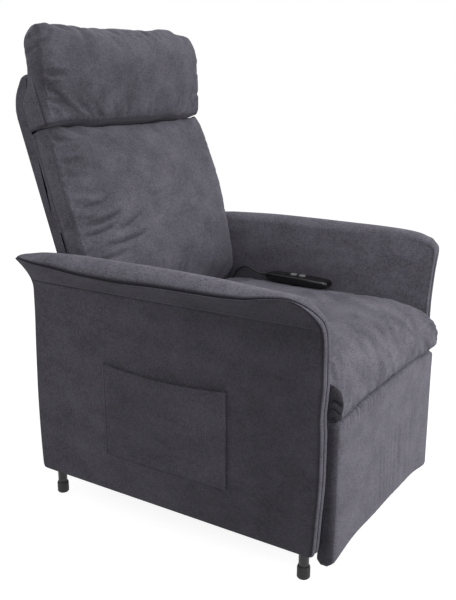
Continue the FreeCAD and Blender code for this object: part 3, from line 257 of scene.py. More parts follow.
chenille = bpy.data.node_groups.new("chenille_pile", "ShaderNodeTree")
for label in ("Mottle", "Seam"):
    chenille.interface.new_socket(label, in_out="INPUT", socket_type="NodeSocketFloat")
for label in ("Shade", "Height"):
    chenille.interface.new_socket(label, in_out="OUTPUT", socket_type="NodeSocketFloat")
pile_in = chenille.nodes.new("NodeGroupInput")
pile_out = chenille.nodes.new("NodeGroupOutput")
pile_place = chenille.nodes.new("ShaderNodeTexCoord")


def pile_math(operation, first, second):
    node = chenille.nodes.new("ShaderNodeMath")
    node.operation = operation
    for socket, value in zip(node.inputs, (first, second)):
        if isinstance(value, (int, float)):
            socket.default_value = value
        else:
            chenille.links.new(value, socket)
    return node.outputs[0]


def pile_noise(stretch, detail):
    mapping = chenille.nodes.new("ShaderNodeMapping")
    mapping.inputs["Scale"].default_value = stretch
    chenille.links.new(pile_place.outputs["Object"], mapping.inputs["Vector"])
    texture = chenille.nodes.new("ShaderNodeTexNoise")
    texture.inputs["Scale"].default_value = 1
    texture.inputs["Detail"].default_value = detail
    chenille.links.new(mapping.outputs[0], texture.inputs["Vector"])
    return texture.outputs["Fac"]


weft = pile_noise((130, 130, 430), 2)
warp = pile_noise((400, 400, 120), 2)
flecks = pile_noise((300, 300, 300), 3)
strokes = pile_noise((17, 13, 21), 5)
patches = pile_noise((75, 60, 95), 4)
threads = pile_math("ADD", pile_math("MULTIPLY", weft, 0.3), pile_math("MULTIPLY", warp, 0.25))
threads = pile_math("ADD", threads, pile_math("MULTIPLY", flecks, 0.45))
cloudy = pile_math("ADD", pile_math("MULTIPLY", strokes, 0.65), pile_math("MULTIPLY", patches, 0.35))
mottled = pile_math("MULTIPLY", pile_math("SUBTRACT", cloudy, 0.5), pile_in.outputs["Mottle"])
thread_tone = pile_math("MULTIPLY", pile_math("SUBTRACT", threads, 0.5), 3.0)
tone = pile_math("ADD", pile_math("ADD", mottled, thread_tone), 0.5)
chenille.links.new(tone, pile_out.inputs["Shade"])
chenille.links.new(pile_math("SUBTRACT", threads, pile_in.outputs["Seam"]), pile_out.inputs["Height"])


def chenille_cloth(name, dark, light, mottle=1.55):
    """Cloth with a pile: threads, flecks and brushed patches between two colours, and painted shade towards
    near black.
    """
    material = bpy.data.materials.new(name)
    material.use_nodes = True
    nodes = material.node_tree.nodes
    links = material.node_tree.links
    shader = nodes["Principled BSDF"]
    shader.inputs["Roughness"].default_value = 0.92
    shader.inputs["Specular IOR Level"].default_value = 0.25
    shader.inputs["Sheen Weight"].default_value = 0.2
    shader.inputs["Sheen Roughness"].default_value = 0.45
    shader.inputs["Sheen Tint"].default_value = (0.72, 0.7, 0.8, 1)
    hollow_shade = nodes.new("ShaderNodeAttribute")
    hollow_shade.attribute_name = "hollow_shade"
    pile = nodes.new("ShaderNodeGroup")
    pile.node_tree = chenille
    pile.inputs["Mottle"].default_value = mottle
    links.new(hollow_shade.outputs["Fac"], pile.inputs["Seam"])
    colours = nodes.new("ShaderNodeMix")
    colours.data_type = "RGBA"
    colours.inputs["A"].default_value = (*dark, 1)
    colours.inputs["B"].default_value = (*light, 1)
    links.new(pile.outputs["Shade"], colours.inputs["Factor"])
    # Painted shade: the larger of the two attributes pulls the colour towards near black
    pile_tone_and_shade = nodes.new("ShaderNodeAttribute")
    pile_tone_and_shade.attribute_name = "pile_tone_and_shade"
    shade = nodes.new("ShaderNodeMath")
    shade.operation = "MAXIMUM"
    links.new(hollow_shade.outputs["Fac"], shade.inputs[0])
    links.new(pile_tone_and_shade.outputs["Fac"], shade.inputs[1])
    painted_shade_mix = nodes.new("ShaderNodeMix")
    painted_shade_mix.data_type = "RGBA"
    painted_shade_mix.inputs["B"].default_value = (0.012, 0.011, 0.0155, 1)
    links.new(colours.outputs["Result"], painted_shade_mix.inputs["A"])
    links.new(shade.outputs[0], painted_shade_mix.inputs["Factor"])
    links.new(painted_shade_mix.outputs["Result"], shader.inputs["Base Color"])
    bump = nodes.new("ShaderNodeBump")
    bump.inputs["Strength"].default_value = 0.5
    bump.inputs["Distance"].default_value = 0.001
    links.new(pile.outputs["Height"], bump.inputs["Height"])
    links.new(bump.outputs["Normal"], shader.inputs["Normal"])
    return material


grey_chenille = chenille_cloth("grey_chenille", (0.088, 0.083, 0.1), (0.222, 0.212, 0.256))


def dress(piece, material, body, hollow_shade=None, pile_tone_and_shade=None):
    """Gives a soft piece its cloth, with painted shade in its hollows and painted shade and pile tone over
    wider areas, and its body.
    """
    for label, amounts in (("hollow_shade", hollow_shade), ("pile_tone_and_shade", pile_tone_and_shade)):
        if amounts is not None:
            layer = piece.data.attributes.new(label, "FLOAT", "POINT")
            layer.data.foreach_set("value", np.clip(amounts, 0, 1).astype(np.float32))
    paint(piece, material)
    bpy.ops.object.select_all(action="DESELECT")
    piece.select_set(True)
    bpy.context.view_layer.objects.active = piece
    bpy.ops.object.shade_smooth()
    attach(piece, body)


# The side view's front and rear edges: share of the height, distance from the front, height
RIGHT_FRONT_EDGE = [
    (0, 0.0145, 0.0825),
    (0.015, 0.0085, 0.0845),
    (0.05, 0.006, 0.098),
    (0.12, 0.003, 0.145),
    (0.3, -0.0035, 0.262),
    (0.42, -0.0035, 0.335),
    (0.49, -0.0015, 0.378),
    (0.55, -0.0035, 0.412),
    (0.62, -0.006, 0.45),
    (0.72, -0.0055, 0.505),
    (0.79, -0.0045, 0.54),
    (0.84, -0.001, 0.561),
    (0.89, 0.0085, 0.5775),
    (0.93, 0.02, 0.589),
    (0.965, 0.034, 0.5965),
    (1, 0.05, 0.6005),
]
LEFT_FRONT_EDGE = [
    (0, 0.0145, 0.0825),
    (0.015, 0.0085, 0.0845),
    (0.05, 0.0075, 0.098),
    (0.12, 0.0075, 0.145),
    (0.3, 0.0085, 0.262),
    (0.5, 0.0095, 0.385),
    (0.62, 0.0095, 0.45),
    (0.72, 0.007, 0.505),
    (0.79, 0.0045, 0.541),
    (0.84, 0.003, 0.565),
    (0.89, 0.002, 0.589),
    (0.93, 0.0035, 0.6005),
    (0.965, 0.011, 0.61),
    (1, 0.022, 0.6155),
]
ARM_REAR_EDGE = [
    (0, 0.729, 0.0825),
    (0.015, 0.7355, 0.0845),
    (0.05, 0.7385, 0.1),
    (0.3, 0.742, 0.25),
    (0.5, 0.739, 0.38),
    (0.68, 0.735, 0.485),
    (0.84, 0.7345, 0.557),
    (0.95, 0.737, 0.594),
    (1, 0.738, 0.607),
]
# Along the arm: distance from the front, lip height, lip reach, inner top, inner lean, roll swell
RIGHT_TOP = [
    (-0.03, 0.596, 0.02, 0.59, 0.012, 0.007),
    (0.03, 0.607, 0.027, 0.6, 0.014, 0.009),
    (0.06, 0.61, 0.031, 0.602, 0.014, 0.0105),
    (0.1, 0.606, 0.034, 0.603, 0.013, 0.013),
    (0.15, 0.597, 0.036, 0.604, 0.011, 0.018),
    (0.22, 0.593, 0.036, 0.607, 0.009, 0.0215),
    (0.35, 0.592, 0.037, 0.61, 0.009, 0.0235),
    (0.46, 0.588, 0.037, 0.612, 0.009, 0.0255),
    (0.55, 0.59, 0.038, 0.613, 0.01, 0.0245),
    (0.64, 0.597, 0.04, 0.611, 0.012, 0.02),
    (0.7, 0.602, 0.043, 0.608, 0.014, 0.016),
    (0.738, 0.611, 0.047, 0.604, 0.018, 0.009),
]
LEFT_TOP = [
    (-0.03, 0.606, 0.016, 0.602, 0.01, 0.01),
    (0.02, 0.613, 0.024, 0.608, 0.012, 0.0125),
    (0.05, 0.613, 0.03, 0.613, 0.013, 0.0195),
    (0.1, 0.608, 0.035, 0.617, 0.012, 0.0255),
    (0.2, 0.602, 0.037, 0.621, 0.01, 0.0295),
    (0.45, 0.6, 0.037, 0.623, 0.009, 0.0305),
    (0.58, 0.6, 0.038, 0.62, 0.01, 0.0285),
    (0.66, 0.602, 0.041, 0.614, 0.012, 0.0225),
    (0.738, 0.612, 0.047, 0.604, 0.018, 0.01),
]


def arm_sheets(deep, high, front_edge, top_line):
    """The arm's inner and outer faces, for places from front to rear and from bottom to top."""
    share = (deep + 1) / 2
    rise = np.interp(high, ROW_PLACES, ROW_HEIGHTS)
    front = flowing(rise, front_edge)
    rear = flowing(rise, ARM_REAR_EDGE)
    edge = front * (1 - share)[:, None] + rear * share[:, None]
    depth, height = edge.T
    lip_height, lip_reach, inner_top, inner_lean, swell = flowing(depth, top_line).T
    top = front_edge[-1][2] * (1 - share) + ARM_REAR_EDGE[-1][2] * share
    blend = rising(rise, 0.86, 0.14) ** 1.5
    outer_height = height + (lip_height - top) * blend
    inner_height = height + (inner_top - top) * blend
    flare_height = np.clip(lip_height, 0.585, 0.63) - FLARE_START
    flare = np.clip((outer_height - FLARE_START) / flare_height, 0, 1.1)
    lean = rising(inner_height, LEAN_START, 0.13)
    inner = np.stack([ARM_INNER + inner_lean * lean**1.6, depth, inner_height], axis=1)
    outer = np.stack([ARM_OUTER + lip_reach * flare**1.7, depth, outer_height], axis=1)
    return inner, outer, swell


def make_arm(side, name, front_edge, top_line):
    arm = cut_block(name + "_cover", (34, 112, 104))
    across, deep, high = points_of(arm).T
    girth = (across + 1) / 2
    inner, outer, roll_swell = arm_sheets(deep, high, front_edge, top_line)
    on_top = high > 0.999
    on_front = (deep < -0.999) & ~on_top
    on_rear = (deep > 0.999) & ~on_top
    on_floor = (high < -0.999) & ~on_front & ~on_rear
    # Each edge strip runs along the arm's outline, and its swell goes outward from there
    step_deep = np.where(on_top, 0.01, np.where(on_floor, -0.01, 0))
    step_high = np.where(on_front, 0.01, np.where(on_rear, -0.01, 0))
    sheets = []
    for direction in (1, -1):
        next_deep = np.clip(deep + direction * step_deep, -1, 1)
        next_high = np.clip(high + direction * step_high, -1, 1)
        sheets += arm_sheets(next_deep, next_high, front_edge, top_line)[:2]
    chord = outer - inner
    width = np.linalg.norm(chord, axis=1)
    along = unit(sheets[0] + sheets[1] - sheets[2] - sheets[3])
    outward = unit(np.cross(unit(chord), along))
    # The roll and the narrow welt beside it, on either side of the seam's groove, which runs down the
    # middle of the front strip and moves out to the lip at the top corner
    corner = rising(np.where(on_top, 1, high), 0.66, 0.34)
    groove = np.where(on_rear | on_floor, 0.98, np.where(on_front, 0.5 + 0.46 * corner**1.5, 0.96))
    on_roll = rising(girth, 0, ROLL_GIRTH)
    on_welt = rising(girth, ROLL_GIRTH, 1 - ROLL_GIRTH)
    share = groove * (1 - np.cos(math.pi * on_roll)) / 2
    share += (1 - groove) * (1 - np.cos(math.pi * on_welt)) / 2
    swell = np.where(on_top, roll_swell, np.where(on_floor, 0.002, 0.004))
    swell = np.where(on_front, 0.003 + (roll_swell - 0.003) * corner**2, swell)
    welt = np.where(on_front, 0.0034 - 0.0014 * corner, 0.0016) * np.sin(math.pi * on_welt) ** 0.9
    ridge = np.where(girth <= ROLL_GIRTH, swell * np.sin(math.pi * on_roll) ** 0.85, welt)
    strip = on_top | on_front | on_rear | on_floor
    points = inner + chord * share[:, None] + outward * np.where(strip, ridge, 0)[:, None]
    # Uneven filling, and the sewn crease under the flare
    puffed = soft_waves(points * np.array([0.6, 1, 1]), 0.16, 3 + side)
    rim = np.clip(np.minimum(1 - np.abs(deep), 1 - np.abs(high)) / 0.1, 0, 1)
    panel = np.where(across > 0.999, 1.0, np.where(across < -0.999, -0.25, 0))
    from_crease = points[:, 2] - CREASE_HEIGHT
    points[:, 0] += panel * rim * (0.0015 + 0.0022 * puffed)
    points[:, 0] -= CREASE_DEPTH * rim * bell(from_crease, 0.0032) * (across > 0.999)
    gathers = 0.5 + 0.5 * np.sin(points[:, 1] * 150 + 2.5 * np.sin(points[:, 1] * 37))
    gathers *= rising(from_crease, 0, 0.02) * bell(deep + 1, 0.22)
    points[:, 0] += 0.003 * panel * gathers * rim
    points[:, 2] += np.where(on_top, 0.0016 * puffed * np.sin(math.pi * on_roll), 0)
    # Painted shade in the groove and the crease, and on the outer panel, the front and the inner face's low
    # rear
    hollow_shade = bell((share - groove) * width, np.where(on_top, 0.0019, 0.0026)) * (on_front | on_top)
    hollow_shade = np.maximum(hollow_shade, 0.8 * bell(from_crease, 0.0026) * (across > 0.9))
    outer_panel_shade = rising(share, 0.96, 0.04) * (across > 0.5)
    towards_front = falling(points[:, 1], 0.62, 0.5)
    under_flare = bell(from_crease + 0.01, 0.035) * towards_front
    pile_tone_and_shade = outer_panel_shade * (0.34 + 0.3 * towards_front + 0.1 * under_flare)
    low_rear = rising(points[:, 1], 0.2, 0.36) * falling(points[:, 2], 0.606, 0.13)
    pile_tone_and_shade = pile_tone_and_shade + 0.62 * (across < -0.999) * low_rear + 0.24 * on_front
    points[:, 0] *= side
    points[:, 1] += ARMS_FRONT
    set_points(arm, points)
    if side < 0:
        bpy.ops.object.mode_set(mode="EDIT")
        bpy.ops.mesh.select_all(action="SELECT")
        bpy.ops.mesh.flip_normals()
        bpy.ops.object.mode_set(mode="OBJECT")
    dress(arm, grey_chenille, "chair", hollow_shade, pile_tone_and_shade)
    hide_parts(name)


make_arm(1, "arm_left", LEFT_FRONT_EDGE, LEFT_TOP)
make_arm(-1, "arm_right", RIGHT_FRONT_EDGE, RIGHT_TOP)

# Side pocket.
# One layer of the same chenille, sewn to the right arm's outer panel along three edges. Its top edge
# is hemmed, sags a little and stands open.
POCKET_MIDDLE, POCKET_HALF_LENGTH = 0.368, 0.1635
POCKET_LOW, POCKET_HEIGHT = 0.175, 0.217
POCKET_GAP, POCKET_CLOTH = 0.0014, 0.0024
pocket = cut_block("side_pocket_cloth", (1, 60, 44))
across, deep, high = points_of(pocket).T
rise = (high + 1) / 2
# How far it stands off the arm: most at its open top edge, and a little at its stitched front and bottom
stand = 0.0012 + 0.0075 * rounded(deep, 2.4) * rise**1.8
stand += 0.0028 * bell(deep + 1, 0.035) + 0.001 * bell(high + 1, 0.05)
hem = 0.0007 * (high > 0.9)
pocket_y = ARMS_FRONT + POCKET_MIDDLE + POCKET_HALF_LENGTH * deep
pocket_z = POCKET_LOW + POCKET_HEIGHT * rise - 0.009 * (1 - deep**2) * rise**3
pocket_x = -ARM_OUTER - POCKET_GAP - stand - np.where(across < 0, POCKET_CLOTH + hem, 0)
set_points(pocket, np.stack([pocket_x, pocket_y, pocket_z], axis=1))
# Painted shade along the stitched edges, and over the whole pocket as on the outer panel
stitched = np.maximum(bell(deep - 0.97, 0.02), bell(high + 0.97, 0.02))
stitched = np.maximum(stitched, 0.4 * bell(deep + 0.94, 0.012))
dress(pocket, grey_chenille, "chair", 0.8 * stitched, np.full_like(stitched, 0.5))
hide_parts("side_pocket")

# Seat.
# A foam block in a sewn cover that rolls over the front edge. Its ends are gathered into small dark
# gussets, and it lies on the straps between the arms.
HALF_SEAT, SEAT_TOP = 0.2832, 0.4775


def around(first, second):
    """Where a point lies on nested squares: how far round, from 0 to 8, and how far out, from 0 to 1."""
    out = np.maximum(np.abs(first), np.abs(second))
    first = first / np.maximum(out, 1e-9)
    second = second / np.maximum(out, 1e-9)
    turn = np.where(second <= -0.9999, 1 + first, 7 - second)
    turn = np.where((first >= 0.9999) & (second > -0.9999), 3 + second, turn)
    turn = np.where((second >= 0.9999) & (first < 0.9999), 5 - first, turn)
    return turn, out


SETTLING_FRAMES = 20


def puff(piece, voxel, reach, held, slack=0.04):
    """Stuffs a closed cover: its cloth swells and wrinkles by up to reach, and held points stay."""
    bpy.ops.object.select_all(action="DESELECT")
    piece.select_set(True)
    bpy.context.view_layer.objects.active = piece
    piece.data.remesh_voxel_size = voxel
    bpy.ops.object.voxel_remesh()
    before = points_of(piece)
    pins = piece.vertex_groups.new(name="pins")
    for index, weight in enumerate(held(before)):
        pins.add([index], float(weight), "REPLACE")
    cloth = piece.modifiers.new("stuffing", "CLOTH")
    cloth.settings.quality = 5
    cloth.settings.mass = 0.3
    cloth.settings.tension_stiffness = 12
    cloth.settings.compression_stiffness = 12
    cloth.settings.bending_stiffness = 0.6
    cloth.settings.use_pressure = True
    cloth.settings.uniform_pressure_force = 4
    cloth.settings.shrink_min = -slack
    cloth.settings.vertex_group_mass = "pins"
    cloth.settings.effector_weights.gravity = 0
    cloth.point_cache.frame_start = 1
    cloth.point_cache.frame_end = SETTLING_FRAMES
    for frame_number in range(1, SETTLING_FRAMES + 1):
        bpy.context.scene.frame_set(frame_number)
    bpy.ops.object.modifier_apply(modifier=cloth.name)
    bpy.context.scene.frame_set(1)
    moved = points_of(piece) - before
    length = np.linalg.norm(moved, axis=1, keepdims=True)
    kept = reach * np.tanh(length / reach)
    set_points(piece, before + moved / np.maximum(length, 1e-9) * kept)
    finer = piece.modifiers.new("finer", "SUBSURF")
    finer.levels = 1
    bpy.ops.object.modifier_apply(modifier=finer.name)


# How far round the side view, distance from the front, height
SEAT_OUTLINE = [
    (0, 0.024, 0.349),
    (2, 0.574, 0.348),
    (4, 0.574, 0.463),
    (5, 0.3, 0.468),
    (5.7, 0.1, 0.4655),
    (6, 0.055, 0.459),
    (6.4, 0.008, 0.446),
    (6.8, -0.0215, 0.425),
    (7.1, -0.0305, 0.401),
    (7.35, -0.0285, 0.382),
    (7.6, -0.018, 0.3685),
    (7.8, 0.0, 0.3645),
    (7.9, 0.016, 0.364),
    (8, 0.024, 0.349),
]
seat = cut_block("seat_cover", (90, 66, 26))
across, deep, high = points_of(seat).T
turn, out = around(deep, high)
outline = flowing(turn, SEAT_OUTLINE)
seat_middle = np.array([0.28, 0.41])
end = rising(np.abs(across), 0.84, 0.16)
section = seat_middle + (outline - seat_middle) * out[:, None]
# The front roll droops at its lower corners, and draws in a little at its ends
in_front = falling(section[:, 0], 0.05, 0.05)
droop = 0.009 * in_front * bell(section[:, 1] - 0.365, 0.03) * np.abs(across) ** 3
section[:, 0] += 0.008 * in_front * (1 - rounded(end, 2.2))
section[:, 1] -= droop + 0.004 * (section[:, 1] > seat_middle[1]) * np.abs(across) ** 3
set_points(seat, np.stack([HALF_SEAT * across, section[:, 0] + ARMS_FRONT, section[:, 1]], axis=1))


def seat_held(points):
    low = falling(points[:, 2], 0.372, 0.012)
    rear = rising(points[:, 1], 0.12, 0.06)
    sides = rising(np.abs(points[:, 0]), 0.274, 0.006)
    return np.maximum(np.maximum(low, rear), sides)


puff(seat, voxel=0.007, reach=0.012, held=seat_held)
points = points_of(seat)
on_top = rising(points[:, 2], 0.39, 0.05)
points[:, 2] += on_top * 0.0022 * soft_waves(points * np.array([1, 0.7, 1]), 0.085, 2)
# The pile is brushed in slanting strokes
strokes = soft_waves(points @ np.array([[0.8, 0.25, 0], [-0.6, 0.33, 0], [0, 0, 0.6]]), 0.03, 7)
points[:, 2] += on_top * 0.0008 * strokes
brushed = 0.14 + 0.36 * strokes + 0.14 * soft_waves(points * np.array([1, 0.6, 1]), 0.07, 14)
points[:, 1] -= (1 - on_top) * 0.002 * soft_waves(points, 0.07, 5) * (points[:, 1] < -0.36)
# The ends draw in where they stand ahead of the arms, in fine pleats
ahead = falling(points[:, 1], ARMS_FRONT + 0.014, 0.014)
end_limit = HALF_SEAT - np.where(points[:, 0] < 0, 0.017, 0.006) * ahead
past = rising(np.abs(points[:, 0]), 0.25, HALF_SEAT - 0.25)
points[:, 0] = np.sign(points[:, 0]) * np.minimum(np.abs(points[:, 0]), end_limit)
pleats = np.sin(points[:, 2] * 420 + 1.5 * np.sin(points[:, 2] * 150)) * past**2 * ahead
points[:, 1] += 0.0012 * pleats
points[:, 2] = np.minimum(points[:, 2], SEAT_TOP)
# Painted shade under the front roll and in the pleats' hollows
under_roll_shade = bell(points[:, 2] - 0.362, 0.014) * (points[:, 1] < -0.366)
seat_shade = np.maximum(0.7 * under_roll_shade, 0.3 * np.clip(-pleats, 0, 1))
set_points(seat, points)
dress(seat, grey_chenille, "chair", seat_shade, brushed)
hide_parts("seat_cushion")

lining = chenille_cloth("gusset_lining", (0.024, 0.0225, 0.027), (0.068, 0.065, 0.078), mottle=0.8)
for name, place, size in (
    ("seat_gusset_right", (-0.2655, ARMS_FRONT - 0.0035, 0.396), (0.0115, 0.0245, 0.0375)),
    ("seat_gusset_left", (0.277, ARMS_FRONT - 0.001, 0.396), (0.0055, 0.02, 0.034)),
):
    bpy.ops.object.select_all(action="DESELECT")
    bpy.ops.mesh.primitive_uv_sphere_add(segments=160, ring_count=64, radius=1)
    gusset = bpy.context.object
    gusset.name = name
    ball = points_of(gusset)
    # Folds lie nearly flat at the arm's side and run out towards the round end
    slope = ball[:, 2] + 0.5 * (ball[:, 1] + 0.6) * ball[:, 2] + 0.12 * np.sin(5 * ball[:, 1])
    fade = np.clip((0.55 - ball[:, 1]) / 0.9, 0.05, 1)
    folds = np.cos(9.5 * slope + 1.3 * np.sin(4.1 * slope + 0.8)) * fade
    swollen = ball * np.array(size)
    swollen[:, 0] *= 1 + 0.22 * folds
    set_points(gusset, np.array(place) + swollen)
    # Painted shade between the folds and towards the rear, where the gusset goes in beside the arm
    fold_shade = 0.95 * np.clip(-folds - 0.45, 0, 1) / 0.55
    rear_shade = rising(ball[:, 1], -0.1, 0.6)
    dress(gusset, lining, "chair", np.maximum(fold_shade, 0.85 * rear_shade))

# Footrest.
# A padded board, folded shut below the seat, covered in chenille that is gathered along the top edge.
PAD_FRONT, PAD_REAR = ARMS_FRONT - 0.022, ARMS_FRONT + 0.016
PAD_LOW, PAD_TOP = 0.063, 0.363
HALF_PAD = 0.273


def slab(name, cuts, half_width, low, top, front, rear, corners, edge_share):
    """A rounded board lying across X: its face bulges, and its corner radii are low, then high."""
    piece = cut_block(name, cuts)
    across, deep, high = points_of(piece).T
    out = np.maximum(np.abs(across), np.abs(high))
    half = np.array([half_width, (top - low) / 2])
    flat = np.stack([across, high], axis=1) / np.maximum(out, 1e-9)[:, None] * half
    radius = np.where(high < 0, corners[0], corners[1])[:, None]
    core = np.clip(flat, radius - half, half - radius)
    flat = (core + unit(flat - core) * radius) * out[:, None]
    crown = edge_share + (1 - edge_share) * rounded(out, 8)
    middle, thick = (front + rear) / 2, (rear - front) / 2
    place = [flat[:, 0], middle + thick * deep * crown, (low + top) / 2 + flat[:, 1]]
    set_points(piece, np.stack(place, axis=1))
    return piece


pad = slab(
    "footrest_cover",
    (110, 8, 70),
    half_width=HALF_PAD,
    low=PAD_LOW,
    top=PAD_TOP,
    front=PAD_FRONT,
    rear=PAD_REAR,
    corners=(0.01, 0.016),
    edge_share=0.35,
)
points = points_of(pad)
# Small gathers below the top edge, and a few loose folds in the middle
near_front = falling(points[:, 1], PAD_FRONT + 0.02, 0.012)
gathers = np.cos(points[:, 0] * 560 + 2 * np.sin(points[:, 0] * 90))
gathers *= bell(points[:, 2] - 0.356, 0.02) * np.clip(0.35 - points[:, 0] * 2.6, 0.15, 1)
drape = np.cos(points[:, 0] * 240 + 3 * np.sin(points[:, 0] * 31) + points[:, 2] * 12)
drape *= bell(points[:, 0] - 0.03, 0.11) * bell(points[:, 2] - 0.16, 0.09)
# The lower corners hang a little, and the top edge falls off towards its ends
low_corner = bell(np.abs(points[:, 0]) - HALF_PAD, 0.075) * falling(points[:, 2], 0.13, 0.07)
top_end = (np.abs(points[:, 0]) / HALF_PAD) ** 4 * rising(points[:, 2], 0.33, 0.03)
points[:, 2] -= 0.017 * low_corner + 0.006 * top_end
points[:, 1] += near_front * (0.0015 * gathers + 0.0009 * drape + 0.002 * soft_waves(points, 0.12, 8))
points[:, 0] -= 0.009 * low_corner * (points[:, 0] < 0)
set_points(pad, points)
# Painted shade on the pad's sides, a painted shadow beside the right arm, and painted shade in the gathers
pad_side_shade = bell(np.abs(points[:, 0]) - HALF_PAD, 0.004) * 0.4
arm_shadow = 0.75 * bell(points[:, 0] + 0.276, 0.014)
gather_shade = 0.6 * near_front * np.clip(gathers, 0, 1)
dress(pad, grey_chenille, "footrest", np.maximum(np.maximum(pad_side_shade, arm_shadow), gather_shade))
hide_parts("footrest_pad")

# Back.
# A padded shell carries a crowned cushion, and its sides are a sewn border. All of it is chenille over
# foam, and it leans back on the recline hinge.
back_chenille = chenille_cloth("back_chenille", (0.085, 0.0805, 0.098), (0.214, 0.204, 0.248))
LEAN = math.radians(18.4)
# The recline hinge: its depth and height
HINGE = np.array([ARMS_FRONT + 0.612, 0.4])
HALF_BACK = 0.281
SHELL_FACE = 0.028


def lean_back(x, rise, reach):
    """Points given by their height along the back and their reach in front of its hinge."""
    depth = HINGE[0] + rise * math.sin(LEAN) - reach * math.cos(LEAN)
    height = HINGE[1] + rise * math.cos(LEAN) + reach * math.sin(LEAN)
    return np.stack([x, depth, height], axis=1)


def stand_up(points):
    """The height along the back and the reach in front of its hinge of points on it."""
    depth = points[:, 1] - HINGE[0]
    height = points[:, 2] - HINGE[1]
    rise = depth * math.sin(LEAN) + height * math.cos(LEAN)
    reach = height * math.sin(LEAN) - depth * math.cos(LEAN)
    return rise, reach


def back_piece(name, cuts, half_width, outline, middle, base, ends, power, top_drop=0, rear_share=1):
    """A closed piece of the back, drawn by its side outline and thinner towards its right and left ends."""
    piece = cut_block(name, cuts)
    across, deep, high = points_of(piece).T
    turn, out = around(deep, high)
    section = middle + (flowing(turn, outline) - middle) * out[:, None]
    end_share = np.where(across < 0, ends[0], ends[1])
    thin = end_share + (1 - end_share) * rounded(across, np.where(across < 0, power[0], power[1]))
    ahead = section[:, 1] - base
    free = rising(section[:, 0], 0.625, 0.04)
    thin_rear = 1 - (1 - rear_share) * (1 - rounded(across, 4.5)) * free
    reach = base + np.maximum(ahead, 0) * thin + np.minimum(ahead, 0) * thin_rear
    above = np.maximum(section[:, 0] - middle[0], 0)
    rise = section[:, 0] - above * top_drop * (1 - rounded(across, 5))
    set_points(piece, lean_back(half_width * across, rise, reach))
    return piece


# How far round the side view, height along the back, reach in front of the hinge
SHELL_OUTLINE = [
    (0, 0.024, 0.028),
    (2, 0.024, -0.0044),
    (3.5, 0.45, -0.0044),
    (4, 0.54, -0.0044),
    (4.5, 0.577, 0.005),
    (5, 0.6015, 0.023),
    (5.6, 0.6195, 0.05),
    (6, 0.6205, 0.0635),
    (6.3, 0.6, 0.058),
    (6.7, 0.562, 0.031),
    (7, 0.53, 0.028),
    (8, 0.024, 0.028),
]
shell_middle = np.array([0.3, 0.012])
shell = back_piece(
    "back_shell_cover",
    (80, 10, 80),
    HALF_BACK,
    SHELL_OUTLINE,
    shell_middle,
    base=SHELL_FACE,
    ends=(0.8, 0.8),
    power=(8, 8),
)
rise, reach = stand_up(points_of(shell))
# Painted shade on the shell's front face around the cushion, and a darker tone over the whole shell
dress(shell, back_chenille, "back", 0.5 * bell(reach - SHELL_FACE, 0.003), np.full_like(reach, 0.25))
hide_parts("back_shell")

CUSHION_OUTLINE = [
    (0, 0.05, 0.047),
    (2, 0.03, 0.02),
    (4, 0.499, 0.02),
    (5.7, 0.499, 0.07),
    (6, 0.4985, 0.084),
    (6.15, 0.473, 0.095),
    (6.45, 0.398, 0.104),
    (6.85, 0.284, 0.108),
    (7.2, 0.2, 0.1045),
    (7.5, 0.122, 0.093),
    (7.75, 0.074, 0.076),
    (8, 0.05, 0.047),
]
cushion_middle = np.array([0.27, 0.05])
cushion = back_piece(
    "back_cushion_cover",
    (84, 18, 72),
    HALF_BACK,
    CUSHION_OUTLINE,
    cushion_middle,
    base=0.0262,
    ends=(0.38, 0.76),
    power=(3.2, 3.6),
)


def back_held(points):
    rise, reach = stand_up(points)
    border = rising(np.abs(points[:, 0]), 0.272, 0.006)
    return np.maximum(border, falling(reach, 0.04, 0.008))


puff(cushion, voxel=0.0065, reach=0.01, held=back_held)
points = points_of(cushion)
rise, reach = stand_up(points)
# The cushion's sides swell in front of the shell at mid height
x = points[:, 0] * (1 + 0.035 * bell(rise - 0.36, 0.13) * rising(reach, 0.02, 0.05))
front_side = rising(reach, 0.05, 0.02)
# Wrinkles drawn as lines: from x and height along the back, to x and height, depth
CUSHION_WRINKLES = [
    (-0.27, 0.306, -0.19, 0.314, 0.0028),
    (-0.278, 0.246, -0.18, 0.256, 0.0042),
    (-0.262, 0.264, -0.15, 0.286, 0.0048),
    (-0.2, 0.238, -0.09, 0.272, 0.0038),
    (-0.24, 0.212, -0.08, 0.226, 0.0042),
    (-0.272, 0.186, -0.16, 0.192, 0.0034),
    (-0.278, 0.475, -0.235, 0.456, 0.004),
    (-0.276, 0.41, -0.225, 0.418, 0.0026),
    (-0.06, 0.3, 0.05, 0.322, 0.0016),
    (0.0, 0.24, 0.12, 0.25, 0.0014),
]


WRINKLE_WIDTH = 0.0058


def wrinkles(x, rise, lines):
    """How deep a piece is creased at each point, and soft ridges beside its creases."""
    depth = np.zeros_like(x)
    ridge = np.zeros_like(x)
    for start_x, start_rise, end_x, end_rise, deep in lines:
        run = np.array([end_x - start_x, end_rise - start_rise])
        length = np.linalg.norm(run)
        along = ((x - start_x) * run[0] + (rise - start_rise) * run[1]) / length**2
        bend = 0.004 * np.sin(math.pi * np.clip(along, 0, 1))
        aside = ((rise - start_rise) * run[0] - (x - start_x) * run[1]) / length + bend
        fade = np.clip(1 - np.abs(2 * along - 1) ** 3, 0, 1) * (np.abs(along - 0.5) < 0.5)
        depth = np.maximum(depth, deep * fade * bell(aside, WRINKLE_WIDTH))
        beside = bell(aside - 2 * WRINKLE_WIDTH, 1.4 * WRINKLE_WIDTH)
        ridge = np.maximum(ridge, 0.7 * deep * fade * beside)
    return depth, ridge


creased, raised = wrinkles(x, rise, CUSHION_WRINKLES)
reach = reach + front_side * (0.0035 * soft_waves(points, 0.11, 6) + raised - creased)
